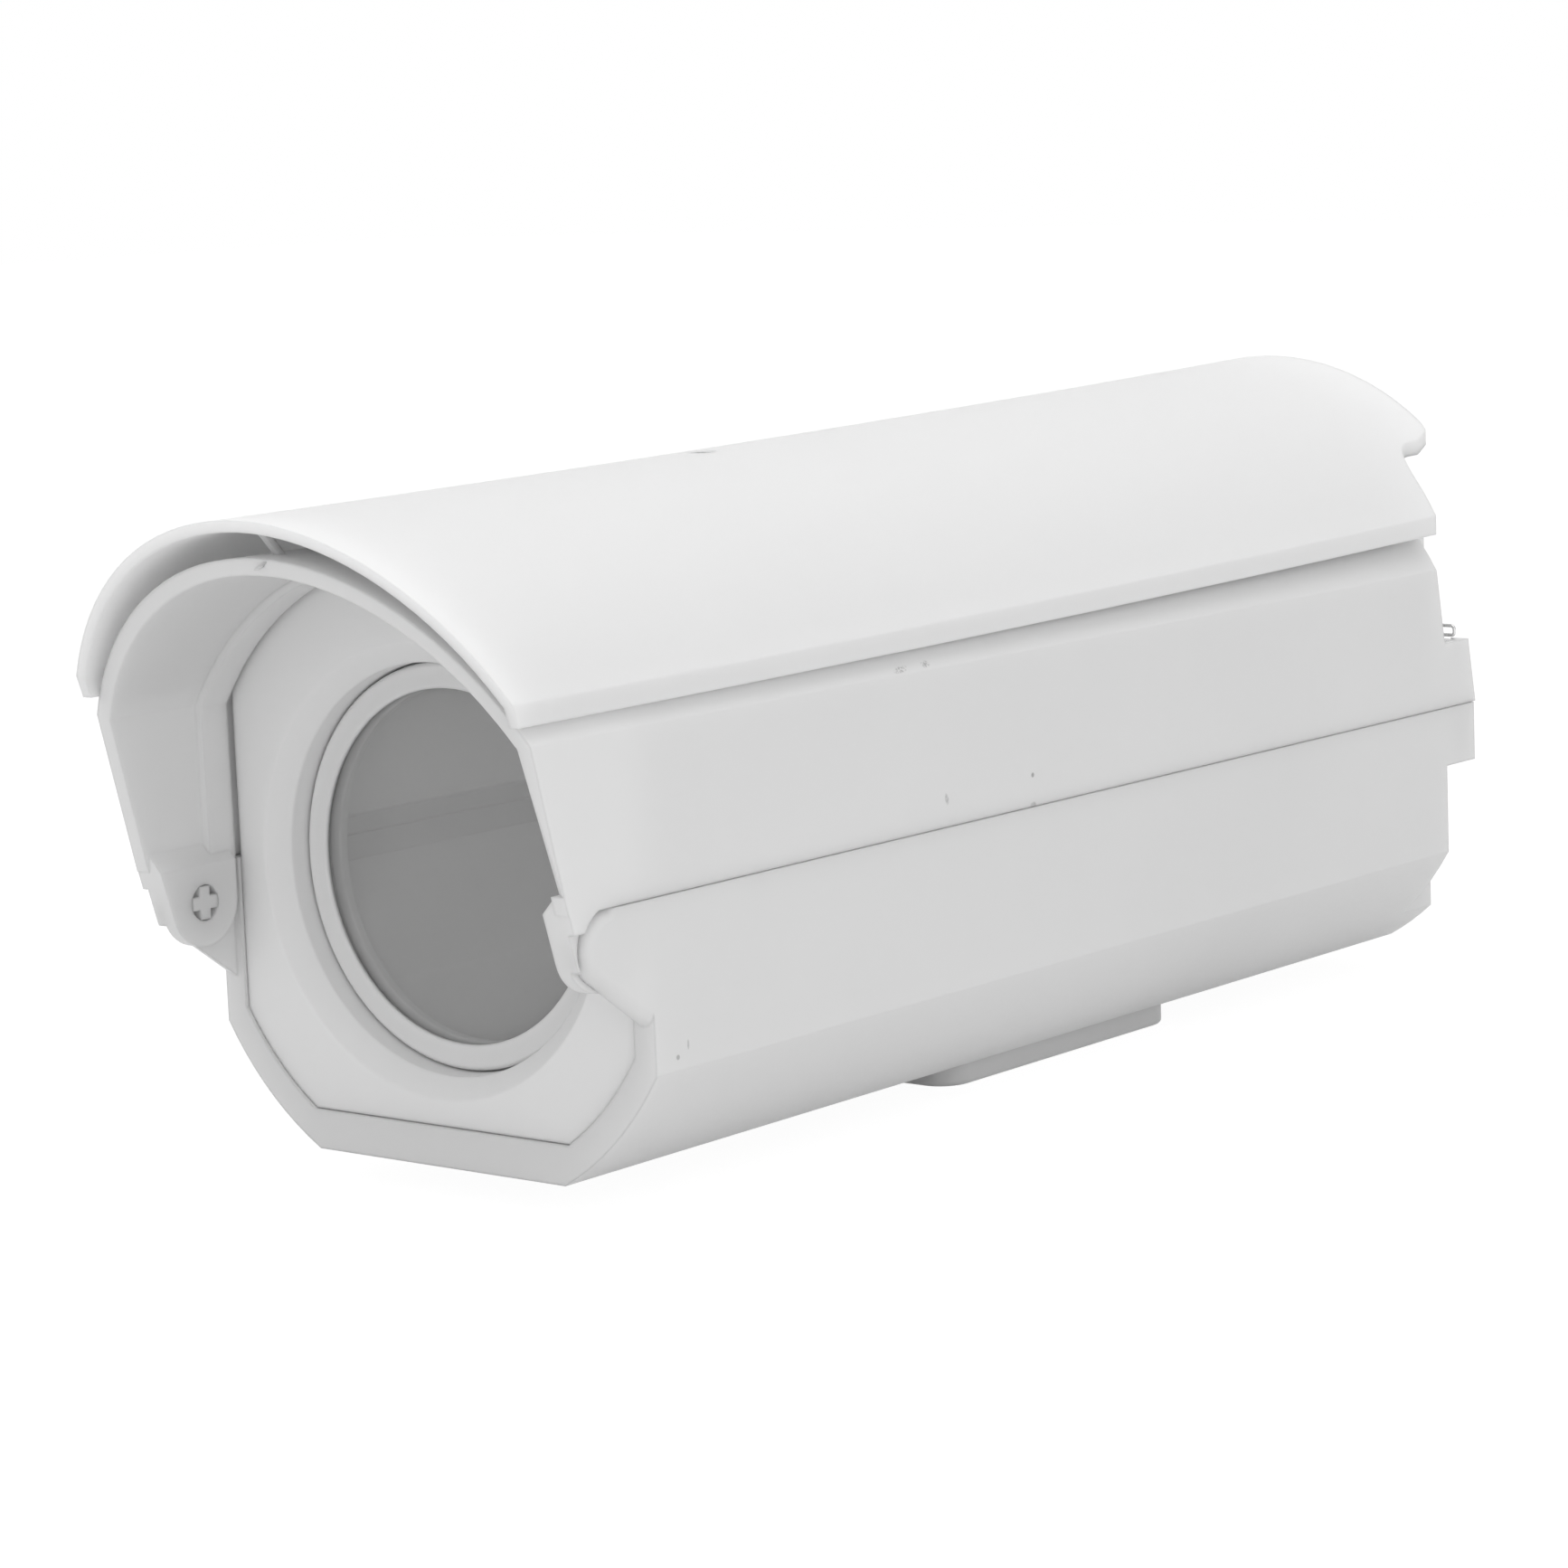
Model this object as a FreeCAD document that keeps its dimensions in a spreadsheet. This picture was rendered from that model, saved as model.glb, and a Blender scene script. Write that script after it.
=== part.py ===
"""Plastic security camera housing: octagonal tub, hinged cover with hood, sunshield and round window.

Millimetres. The front rim lies ahead of the origin towards -Y, +X is to the right seen from the
front looking back, +Z is up. The origin is the centre of the underside of the mounting pad.
"""
import FreeCAD, Part
import os
import re
import Sketcher

V = FreeCAD.Vector
doc = FreeCAD.newDocument("camera_housing")
sheet = doc.addObject("Spreadsheet::Sheet", "Sizes")

SIZES = {
    # whole body
    "half_w": 65.0, "wall": 3.8, "floor_half_w": 37.278, "keel_bulge": 10.8, "roof_bulge": 9.5,
    "seam_drop": 0.6, "seam_gap": 0.2, "body_len": 323.0, "tail_len": 15.0, "tail_step": 15.0,
    # mounting pad
    "pad_h": 7.4, "pad_mid_y": 194.0, "pad_half_w": 31.0, "pad_len": 95.6, "pad_corner_r": 8.0,
    "pad_edge_r": 1.2, "insert_dx": 40.0, "insert_dy": 60.0, "insert_r": 3.5, "insert_bore_r": 2.1,
    "insert_len": 8.0, "insert_sink": 0.3,
    # front frame of the tub
    "rim_side_in": 2.2, "rim_arc_in": 3.2, "rim_floor_up": 5.2, "frame_depth": 10.4, "slot_y": 3.0,
    "slot_w": 4.4, "slot_deep": 1.9, "plate_gap": 0.25,
    # seam ledge, seal groove and tongue
    "ledge_in": 7.2, "ledge_h": 6.0, "cover_ledge_h": 4.0, "groove_y": 34.0, "groove_in": 3.7,
    "groove_w": 2.6, "groove_deep": 2.6, "seal_w": 2.3, "seal_h": 1.5, "tongue_w": 1.6,
    "tongue_h": 1.0, "tongue_inset": 2.0,
    # hinge
    "pivot_y": 12.2, "hinge_drop": 8.4, "nose_lead": 0.05, "nose_fall": 19.3,
    "nose_round": 3.0, "pin_r": 4.1, "pin_arm": 3.0, "hole_gap": 0.07, "ear_t": 3.5, "ear_reach": 1.6,
    "ear_gap": 0.2, "ear_rise": 4.0, "lip_set": 0.2, "wrap_gap": 0.9,
    "wrap_inset": 1.6, "wrap_turn": 25.0, "claw_drop": 4.0,
    # cover
    "lip_low_y": 25.4, "lip_mid_y": 34.6, "lip_top_y": 47.2, "rib_w": 8.0, "rib_in": 2.0,
    "rib_gap": 0.4, "rear_lean": 3.4, "web_t": 1.8, "web_front_y": 38.1, "web_lean": 6.8,
    "web_w": 2.0,
    # corner blocks with their quarter-turn studs
    "block_up": 17.3, "block_down": 15.4, "block_inset": 0.8, "block_lean": 3.1, "stud_in_y": 7.0,
    "stud_r": 2.45, "stud_gap": 0.08, "seat_r": 5.2, "seat_deep": 1.6, "disc_r": 4.7, "disc_h": 1.2,
    "disc_gap": 0.1, "eye_w": 3.6, "ring_margin": 1.4, "ring_h": 2.5, "ring_wire_r": 0.45,
    "ring_rise": 1.3, "ring_corner": 1.0, "ring_foot_corner": 0.8, "eye_gap": 0.07, "key_r": 1.0,
    "key_half": 4.4, "key_drop": 0.4, "key_gap": 0.02, "key_room": 5.0, "key_play": 1.2,
    "stud_tip": 1.2, "way_gap": 1.0, "way_r": 3.6, "clip_r": 4.2, "clip_t": 0.8, "clip_room": 1.0,
    "clip_drop": 0.9,
    # sunshield
    "shield_out": 0.3, "shield_t": 2.6, "flange_h": 5.0, "shield_over_low": 3.4,
    "shield_over_top": 5.2, "station_lead": 9.6, "front_air": 8.4, "mid_air": 10.3, "rear_air": 17.1,
    "front_eave_up": 0.8, "mid_eave_up": 0.1, "rear_eave_down": 1.7, "cut_back": 1.0, "cut_rake": 3.2,
    "tab_side": 4.15, "tab_lean": 14.0, "tab_over": 6.0, "tab_r": 7.0, "tab_notch_r": 2.0,
    "screw_y": 99.5, "cup_r": 6.2, "cup_bore_r": 3.7, "cup_deep": 3.2, "cup_floor": 2.4,
    "boss_r": 5.8, "boss_gap": 0.1, "boss_inside": 5.0, "rear_spacer_r": 4.0, "rear_spacer_back": 23.0,
    "spacer_gap": 0.3, "shield_screw_r": 2.0, "shield_screw_len": 12.4, "shield_head_r": 3.3,
    "shield_head_h": 2.2, "washer_t": 0.8, "washer_r": 3.5, "drive_w": 0.95, "screw_gap": 0.05,
    # window
    "window_edge": 14.0, "panel_y": 0.8, "bevel_w": 4.7, "bevel_end_y": 5.0, "bezel_gap": 0.5,
    "bezel_w": 5.8, "bezel_y": 9.4, "bezel_edge": 1.3, "bezel_lip_t": 1.0, "bezel_len": 6.2,
    "bezel_flange": 2.5, "bezel_flange_t": 2.6, "cup_gap": 0.3, "cup_wall": 2.8, "glass_t": 3.0,
    "glass_lap": 3.2, "glass_gap": 0.1, "gasket_w": 1.4, "gasket_t": 0.6, "tube_gap": 0.2,
    "clamp_t": 1.8, "clamp_flare": 1.2, "clamp_out": 3.2, "clamp_boss_r": 3.7, "clamp_screw_r": 1.3,
    "clamp_screw_len": 9.0, "clamp_head_r": 2.6, "clamp_head_h": 1.8, "plate_top_gap": 0.5,
    # camera tray
    "tray_margin": 29.0, "tray_t": 1.5, "tray_lip": 5.0, "tray_y": 34.0, "tray_back": 37.0,
    "tray_boss_h": 5.2, "tray_boss_r": 4.6, "tray_dx_in": 10.0, "tray_dy": 14.0, "tray_screw_r": 1.6,
    "tray_screw_len": 6.0, "tray_head_r": 3.4, "tray_head_h": 2.2, "slot_half_w": 3.4,
    "slot_half_len": 55.0, "camera_y": 150.0, "thumb_r": 8.5, "thumb_h": 3.2, "thumb_gap": 0.2,
    "thumb_bolt_r": 3.175, "thumb_bolt_up": 11.0, "thumb_neck_r": 2.4, "thumb_neck_up": 3.8,
    "flute_r": 1.5, "nylon_r": 8.0, "nylon_t": 1.5,
    # cable glands
    "gland_x": 18.0, "gland_z": 30.0, "gland_r": 9.9, "gland_wall": 3.5, "gland_hole_gap": 0.2,
    "gland_flat": 24.0, "gland_hex_t": 5.0, "gland_neck_in": 0.7, "gland_neck": 8.0,
    "gland_tail": 9.0, "gland_seal_t": 1.5, "gland_seal_out": 2.7, "locknut_t": 4.0,
    "gland_cap_wall": 2.0, "gland_cap_len": 13.0, "cap_edge": 2.6, "gland_mouth_r": 5.2,
    "gland_cap_gap": 0.5, "insert_wall": 1.6, "gland_fit": 0.05,
}
# Sizes that follow from others
TIES = {
    "keel_r": "half_w + keel_bulge", "roof_r": "half_w + roof_bulge",
    "axis_z": "sqrt(keel_r^2 - floor_half_w^2)", "seam_z": "axis_z - seam_drop",
    "cover_z": "seam_z + seam_gap", "eave_z": "axis_z + sqrt(roof_r^2 - half_w^2)",
    "crown_z": "axis_z + roof_r", "roof_in_z": "crown_z - wall", "tail_half_w": "half_w - tail_step",
    "rear_y": "body_len + tail_len",
    "rim_side": "wall + rim_side_in", "rim_arc": "wall + rim_arc_in", "rim_floor": "wall + rim_floor_up",
    "pivot_z": "seam_z - hinge_drop", "nose_r": "hinge_drop + nose_lead",
    "nose_foot_z": "pivot_z - nose_fall", "ear_r": "nose_r + ear_reach", "wrap_r": "nose_r + wrap_gap",
    "ear_front_y": "lip_low_y - lip_set", "ear_x": "half_w - wall - ear_gap - ear_t",
    "ear_top": "cover_z + ear_rise", "claw_z": "seam_z - claw_drop",
    "stud_x": "half_w - tail_step / 2", "stud_y": "rear_y - block_inset - stud_in_y",
    "block_top": "seam_z + block_up", "block_foot": "seam_z - block_down",
    "key_shelf": "block_foot + key_room", "key_z": "key_shelf - key_drop - key_r",
    "disc_top": "block_top - seat_deep + disc_gap + disc_h", "ring_z": "block_top + ring_rise",
    "ring_half_w": "tail_step / 2 - ring_margin",
    "shield_half_w": "half_w + shield_out", "shield_nose_y": "lip_top_y + shield_over_top",
    "shield_low_y": "lip_mid_y + shield_over_low", "shield_front_y": "shield_nose_y + station_lead",
    "front_top": "crown_z + front_air", "mid_top": "crown_z + mid_air", "rear_top": "crown_z + rear_air",
    "front_shoulder": "front_top - crown_z + eave_z + front_eave_up",
    "mid_shoulder": "mid_top - crown_z + eave_z + mid_eave_up",
    "rear_shoulder": "rear_top - crown_z + eave_z - rear_eave_down",
    "cut_y": "body_len - cut_back", "tab_half_w": "tail_half_w + tab_side", "tab_y": "rear_y + tab_over",
    "shield_rear_y": "tab_y + station_lead", "rear_spacer_y": "body_len - rear_spacer_back",
    "cup_seat": "mid_top - cup_deep", "cup_under": "cup_seat - cup_floor",
    "bevel_r": "half_w - window_edge", "bore_r": "bevel_r - bevel_w", "bezel_out_r": "bore_r - bezel_gap",
    "bezel_in_r": "bezel_out_r - bezel_w", "bezel_flange_r": "bezel_out_r + bezel_flange",
    "bezel_end_y": "bezel_y + bezel_len", "flange_y": "bezel_end_y - bezel_flange_t",
    "glass_r": "bezel_in_r + glass_lap", "gasket_y": "bezel_y + bezel_lip_t",
    "glass_y": "gasket_y + gasket_t", "tube_y": "glass_y + glass_t + glass_gap",
    "clamp_y": "bezel_end_y + glass_gap", "cup_in_r": "bezel_flange_r + cup_gap",
    "cup_out_r": "cup_in_r + cup_wall", "clamp_pitch_r": "cup_out_r + clamp_out",
    "tray_half_w": "half_w - tray_margin", "tray_dx": "tray_half_w - tray_dx_in",
    "tray_len": "body_len - tray_y - tray_back", "tray_z": "wall + tray_boss_h",
    "knob_z": "tray_z - thumb_gap",
    "gland_bore_r": "gland_r - gland_wall", "gland_neck_r": "gland_r - gland_neck_in",
    "gland_seal_r": "gland_r + gland_seal_out", "gland_cap_flat": "2 * (gland_neck_r + gland_cap_wall)",
    "wall_in_y": "rear_y - wall", "hex_y": "rear_y + gland_seal_t", "neck_y": "hex_y + gland_hex_t",
    "cap_y": "neck_y + gland_cap_gap",
}
for row, (word, number) in enumerate(SIZES.items(), 1):
    sheet.set("A%d" % row, word)
    sheet.set("B%d" % row, repr(number))
    sheet.setAlias("B%d" % row, word)
doc.recompute()

PARTS = []
HALF = 0.5


def bind(text):
    """Spells an expression out, down to the sizes kept in the sheet."""
    def spell(m):
        if m[0] in TIES:
            return "(%s)" % bind(TIES[m[0]])
        return "Sizes." + m[0] if m[0] in SIZES else m[0]
    return re.sub(r"[a-z_]\w*", spell, str(text))


def val(text):
    return float(sheet.evalExpression(re.sub(r"Sizes\.", "", bind(text))))


def drive(obj, prop, text):
    obj.setExpression(prop, bind(text))


def settle(obj, x="0", y="0", z="0"):
    """Puts an object at a place given from the front rim and the tub's floor."""
    drive(obj, ".Placement.Base.x", x)
    drive(obj, ".Placement.Base.y", "(%s) - pad_mid_y" % y)
    drive(obj, ".Placement.Base.z", "(%s) + pad_h" % z)


def keep(obj, name):
    obj.Label = name
    PARTS.append(obj)
    return obj


def new_body(name, x="0", y="0", z="0"):
    body = doc.addObject("PartDesign::Body", name)
    settle(body, x, y, z)
    return body


def plane(body, role):
    return [o for o in body.Origin.OriginFeatures if o.Role == role][0]


def centre_of(p, q, r, turn):
    """Centre of the arc of radius r from p to q; turn 1 is counter-clockwise, -1 clockwise."""
    mid = (p + q) * HALF
    run = q - p
    rise = max(r * r - (run.Length * HALF) ** 2, 0.0) ** HALF
    side = V(-run.y, run.x, 0).normalize()
    return mid + side * (rise * turn)


def draw_loop(sk, loop):
    """Adds a closed outline. Each corner is (across, up) or (across, up, radius, turn) for an arc on."""
    pts = [V(val(c[0]), val(c[1]), 0) for c in loop]
    ends = []
    for i, corner in enumerate(loop):
        p, q = pts[i], pts[(i + 1) % len(pts)]
        if len(corner) == 2:
            g = sk.addGeometry(Part.LineSegment(p, q), False)
            ends.append((g, 1, 2))
            continue
        r, turn = val(corner[2]), corner[3]
        c = centre_of(p, q, r, turn)
        a, b = (p, q) if turn > 0 else (q, p)
        circle = Part.Circle(c, V(0, 0, 1), r)
        g = sk.addGeometry(Part.ArcOfCircle(circle, circle.parameter(a), circle.parameter(b)), False)
        k = sk.addConstraint(Sketcher.Constraint("Radius", g, r))
        drive(sk, "Constraints[%d]" % k, corner[2])
        ends.append((g, 1, 2) if turn > 0 else (g, 2, 1))
    for i, corner in enumerate(loop):
        g, start, _ = ends[i]
        before = ends[i - 1]
        sk.addConstraint(Sketcher.Constraint("Coincident", before[0], before[2], g, start))
        for kind, text in (("DistanceX", corner[0]), ("DistanceY", corner[1])):
            k = sk.addConstraint(Sketcher.Constraint(kind, -1, 1, g, start, val(text)))
            drive(sk, "Constraints[%d]" % k, text)


def draw_circle(sk, x, y, r):
    g = sk.addGeometry(Part.Circle(V(val(x), val(y), 0), V(0, 0, 1), val(r)), False)
    for con, text in ((Sketcher.Constraint("DistanceX", -1, 1, g, 3, val(x)), x),
                      (Sketcher.Constraint("DistanceY", -1, 1, g, 3, val(y)), y),
                      (Sketcher.Constraint("Radius", g, val(r)), r)):
        k = sk.addConstraint(con)
        drive(sk, "Constraints[%d]" % k, text)


def sketch(body, name, role, at="0", loops=(), circles=(), raise_by="0"):
    """Sketch on one of the body's own origin planes, moved along it to a place."""
    sk = body.newObject("Sketcher::SketchObject", name)
    sk.AttachmentSupport = [(plane(body, role), "")]
    sk.MapMode = "FlatFace"
    along = "-(%s)" % at if role == "XZ_Plane" else at
    drive(sk, ".AttachmentOffset.Base.z", along)
    drive(sk, ".AttachmentOffset.Base.y", raise_by)
    for loop in loops:
        draw_loop(sk, loop)
    for circle in circles:
        draw_circle(sk, *circle)
    return sk


def pad(body, name, sk, length, back=False, both=False):
    f = body.newObject("PartDesign::Pad", name)
    f.Profile = sk
    drive(f, "Length", length)
    f.Reversed = back
    f.Midplane = both
    return f


def pocket(body, name, sk, length, back=False, both=False):
    f = body.newObject("PartDesign::Pocket", name)
    f.Profile = sk
    drive(f, "Length", length)
    f.Reversed = back
    f.Midplane = both
    return f


def spun(body, name, sk, kind="PartDesign::Revolution", axis="H_Axis"):
    f = body.newObject(kind, name)
    f.Profile = sk
    f.ReferenceAxis = (sk, [axis])
    f.Angle = 360
    return f


def mirror(body, name, features):
    f = body.newObject("PartDesign::Mirrored", name)
    f.Originals = features
    f.MirrorPlane = (plane(body, "YZ_Plane"), [""])
    body.Tip = f
    return f


def dress(body, kind, name, size, wanted):
    """Rounds or bevels the edges of the body so far that wanted(middle, length) picks."""
    doc.recompute()
    names = []
    for i, e in enumerate(body.Tip.Shape.Edges, 1):
        mid = e.valueAt((e.FirstParameter + e.LastParameter) * HALF)
        if wanted(mid, e):
            names.append("Edge%d" % i)
    f = body.newObject("PartDesign::" + kind, name)
    f.Base = (body.Tip if body.Tip != f else f.BaseFeature, names)
    drive(f, "Radius" if kind == "Fillet" else "Size", size)
    return f


# Outlines shared by the pieces, seen along the body

def tub_loop(half, arc, floor, top):
    """Flat floor, rounded lower corners struck from the window axis, upright sides."""
    foot = "sqrt((%s)^2 - (axis_z - (%s))^2)" % (arc, floor)
    knee = "axis_z - sqrt((%s)^2 - (%s)^2)" % (arc, half)
    return [("-(%s)" % half, top), ("-(%s)" % half, knee, arc, 1), ("-(%s)" % foot, floor),
            (foot, floor, arc, 1), (half, knee), (half, top)]


def arch_loop(half, arc, low):
    """Upright sides under an arch struck from the window axis."""
    eave = "axis_z + sqrt((%s)^2 - (%s)^2)" % (arc, half)
    return [(half, low), (half, eave, arc, 1), ("-(%s)" % half, eave), ("-(%s)" % half, low)]


def plate_loop(half, low_arc, floor, top_arc):
    foot = "sqrt((%s)^2 - (axis_z - (%s))^2)" % (low_arc, floor)
    knee = "axis_z - sqrt((%s)^2 - (%s)^2)" % (low_arc, half)
    eave = "axis_z + sqrt((%s)^2 - (%s)^2)" % (top_arc, half)
    return [("-(%s)" % half, knee, low_arc, 1), ("-(%s)" % foot, floor), (foot, floor, low_arc, 1),
            (half, knee), (half, eave, top_arc, 1), ("-(%s)" % half, eave)]


def box_loop(x0, x1, y0, y1):
    return [(x0, y0), (x1, y0), (x1, y1), (x0, y1)]


def opening_loop(edge, front):
    """Plan of the cavity's mouth, an even width inside the outer walls, stepping in at the tail."""
    a, b = "(half_w - (%s))" % edge, "(tail_half_w - (%s))" % edge
    c, d = "(body_len - (%s))" % edge, "(body_len + tail_len - (%s))" % edge
    return [("-" + a, front), (a, front), (a, c), (b, c), (b, d), ("-" + b, d), ("-" + b, c), ("-" + a, c)]


def track_loop(edge, width, front):
    """Plan of a strip of even width that follows the seam round the sides and the tail."""
    out, inn = "(%s - (%s) / 2)" % (edge, width), "(%s + (%s) / 2)" % (edge, width)
    loop = []
    for e in (out, inn):
        a, b = "(half_w - %s)" % e, "(tail_half_w - %s)" % e
        c, d = "(body_len - %s)" % e, "(body_len + tail_len - %s)" % e
        half = [("-" + a, front), ("-" + a, c), ("-" + b, c), ("-" + b, d), (b, d), (b, c), (a, c),
                (a, front)]
        loop += half if e == out else half[::-1]
    return loop[::-1]


# Tub
base = keep(new_body("base_shell"), "base_shell")
tub_out = tub_loop("half_w", "keel_r", "0", "seam_z")
pad(base, "TubBlock", sketch(base, "TubOutline", "XZ_Plane", "0", [tub_out]), "body_len", back=True)
tail_out = tub_loop("tail_half_w", "keel_r", "0", "seam_z")
pad(base, "TailBlock", sketch(base, "TailOutline", "XZ_Plane", "body_len - wall", [tail_out]),
    "tail_len + wall", back=True)
# Corner blocks beside the tail, for the two studs
block = [box_loop("tail_half_w - wall", "half_w", "body_len - wall", "rear_y - block_inset")]
blocks = pad(base, "CornerBlock", sketch(base, "BlockPlan", "XY_Plane", "block_foot", block),
             "seam_z - block_foot")
mirror(base, "CornerBlocks", [blocks])
# Mounting pad with rounded corners
px, py, pr = "pad_half_w", "pad_len / 2", "pad_corner_r"
pad_plan = [("-(%s)" % px + " + " + pr, "pad_mid_y - " + py), (px + " - " + pr, "pad_mid_y - " + py, pr, 1),
            (px, "pad_mid_y - " + py + " + " + pr), (px, "pad_mid_y + " + py + " - " + pr, pr, 1),
            (px + " - " + pr, "pad_mid_y + " + py), ("-(%s)" % px + " + " + pr, "pad_mid_y + " + py, pr, 1),
            ("-(%s)" % px, "pad_mid_y + " + py + " - " + pr),
            ("-(%s)" % px, "pad_mid_y - " + py + " + " + pr, pr, 1)]
pad(base, "MountPad", sketch(base, "PadPlan", "XY_Plane", "0", [pad_plan]), "pad_h", back=True)
dress(base, "Fillet", "PadEdge", "pad_edge_r",
      lambda m, e: m.z < 0.01 - val("pad_h"))
# Hinge noses: round in front about the pivot, then a straight slope back to the front rim
dy, dz = "pivot_y", "(nose_foot_z - pivot_z)"
dd = "(%s^2 + %s^2)" % (dy, dz)
tangent = "sqrt(%s - nose_r^2)" % dd
tan_y = "-pivot_y + (nose_r^2 * %s + nose_r * %s * %s) / %s" % (dy, tangent, dz, dd)
tan_z = "pivot_z + (nose_r^2 * %s - nose_r * %s * %s) / %s" % (dz, tangent, dy, dd)
brow = "-pivot_y - sqrt(nose_r^2 - hinge_drop^2)"
nose = [("frame_depth", "seam_z"), (brow, "seam_z", "nose_r", 1), (tan_y, tan_z),
        ("0", "nose_foot_z"), ("frame_depth", "nose_foot_z")]
noses = pad(base, "Nose", sketch(base, "NoseSide", "YZ_Plane", "half_w - wall", [nose]), "wall")
arm = "sqrt(pin_r^2 - (pin_arm / 2)^2)"
thick = "(pin_arm / 2)"
arms = []
for word, across, up in (("Level", arm, thick), ("Upright", thick, arm)):
    bar = box_loop("-pivot_y - " + across, "-pivot_y + " + across, "pivot_z - " + up, "pivot_z + " + up)
    arms.append(pad(base, "PinArm" + word, sketch(base, "Pin" + word, "YZ_Plane", "ear_x", [bar]),
                    "ear_t + ear_gap + wall / 2"))
mirror(base, "Noses", [noses] + arms)
dress(base, "Fillet", "NoseEdges", "nose_round",
      lambda m, e: abs(abs(m.x) - val("half_w")) < 0.01 and m.y < val(tan_y) and m.z < val("seam_z") - 0.01)
# Cavity: below the seam ledge, in the tail, and through the mouth
shelf = "seam_z - ledge_h"
inner = tub_loop("half_w - wall", "keel_r - wall", "wall", shelf)
pocket(base, "Cavity", sketch(base, "CavityOutline", "XZ_Plane", "frame_depth", [inner]),
       "body_len - wall - frame_depth")
tail_in = tub_loop("tail_half_w - wall", "keel_r - wall", "wall", shelf)
pocket(base, "TailCavity", sketch(base, "TailCavityOutline", "XZ_Plane", "body_len - 2 * wall", [tail_in]),
       "tail_len + wall")
mouth = opening_loop("ledge_in", "frame_depth - wall")
pocket(base, "Mouth", sketch(base, "MouthPlan", "XY_Plane", "seam_z", [mouth]), "ledge_h")
groove = track_loop("groove_in", "groove_w", "groove_y")
pocket(base, "SealGroove", sketch(base, "GroovePlan", "XY_Plane", "seam_z", [groove]), "groove_deep")
# Front frame that holds the window plate in a slot
frame = tub_loop("half_w - rim_side", "keel_r - rim_arc", "rim_floor", "seam_z")
pocket(base, "FrameOpening", sketch(base, "FrameOutline", "XZ_Plane", "0", [frame]), "frame_depth")
slot = tub_loop("half_w - rim_side + slot_deep", "keel_r - rim_arc + slot_deep", "rim_floor - slot_deep",
                "seam_z")
pocket(base, "PlateSlot", sketch(base, "SlotOutline", "XZ_Plane", "slot_y", [slot]), "slot_w")
# Cable gland holes in the rear wall
holes = [(sign + "gland_x", "gland_z", "gland_r + gland_hole_gap") for sign in ("", "-")]
pocket(base, "GlandHoles", sketch(base, "GlandHolePlan", "XZ_Plane", "rear_y - 2 * wall", circles=holes),
       "3 * wall")
# Bosses for the tray and their screw holes
near, far = "tray_y + tray_dy", "tray_y + tray_len - tray_dy"
spots = [(s + "tray_dx", y) for s in ("", "-") for y in (near, far)]
bosses = [(x, y, "tray_boss_r") for x, y in spots]
pad(base, "TrayBosses", sketch(base, "BossPlan", "XY_Plane", "wall / 2", circles=bosses),
    "tray_boss_h + wall / 2")
bores = [(x, y, "tray_screw_r + screw_gap") for x, y in spots]
pocket(base, "BossHoles", sketch(base, "BossHolePlan", "XY_Plane", "tray_z", circles=bores),
       "tray_screw_len + screw_gap")
# Keyhole through each corner block, room above it for the clip and below it for the turned key
key_way = box_loop("stud_x - key_half - way_gap", "stud_x + key_half + way_gap",
                   "stud_y - key_r - way_gap", "stud_y + key_r + way_gap")
through = "seam_z - block_foot + wall"
way_a = pocket(base, "KeySlot", sketch(base, "KeySlotPlan", "XY_Plane", "seam_z", [key_way]), through)
ways = [way_a]
for name, top, r, deep in (("StudWay", "seam_z", "way_r", through),
                           ("ClipRoom", "seam_z", "clip_r + clip_room", "clip_drop + clip_t + clip_room"),
                           ("KeyRoom", "key_shelf", "key_half + key_play", "key_room + wall")):
    plan = sketch(base, name + "Plan", "XY_Plane", top, circles=[("stud_x", "stud_y", r)])
    ways.append(pocket(base, name, plan, deep))
mirror(base, "KeyWays", ways)
# Bores for the threaded inserts in the pad
insert_spots = [(sx + "insert_dx / 2", "pad_mid_y %s insert_dy / 2" % sy) for sx in ("", "-") for sy in "+-"]
seats = [(x, y, "insert_r") for x, y in insert_spots]
pocket(base, "InsertBores", sketch(base, "InsertPlan", "XY_Plane", "-pad_h", circles=seats),
       "insert_len + insert_sink", back=True)

# Cover
cover = keep(new_body("top_cover"), "top_cover")
hood_y = "-shield_front_y"
cover_out = arch_loop("half_w", "roof_r", "cover_z")
pad(cover, "CoverBlock", sketch(cover, "CoverOutline", "XZ_Plane", hood_y, [cover_out]),
    "body_len + shield_front_y", back=True)
# Hood lip raked forward towards its top
step_y, step_z = "(lip_top_y - lip_mid_y)", "(crown_z - eave_z)"
rake = [("-2 * shield_front_y", "0"), ("-lip_low_y", "0"), ("-lip_low_y", "cover_z"), ("-lip_mid_y", "eave_z"),
        ("-lip_top_y - " + step_y, "crown_z + " + step_z), ("-2 * shield_front_y", "crown_z + " + step_z)]
pocket(cover, "HoodRake", sketch(cover, "RakeSide", "YZ_Plane", "0", [rake]), "4 * half_w", both=True)
lean = [("body_len", "block_top"), ("body_len - rear_lean", "eave_z"), ("body_len - rear_lean", "2 * crown_z"),
        ("body_len + wall", "2 * crown_z"), ("body_len + wall", "block_top")]
pocket(cover, "RearLean", sketch(cover, "LeanSide", "YZ_Plane", "0", [lean]), "4 * half_w", both=True)
tail_roof = arch_loop("tail_half_w", "roof_r", "cover_z")
pad(cover, "TailRoof", sketch(cover, "TailRoofOutline", "XZ_Plane", "body_len - 2 * wall", [tail_roof]),
    "tail_len + 2 * wall", back=True)
corner = [("body_len - wall", "cover_z"), ("rear_y", "cover_z"), ("rear_y - block_lean", "block_top"),
          ("body_len - wall", "block_top")]
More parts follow.
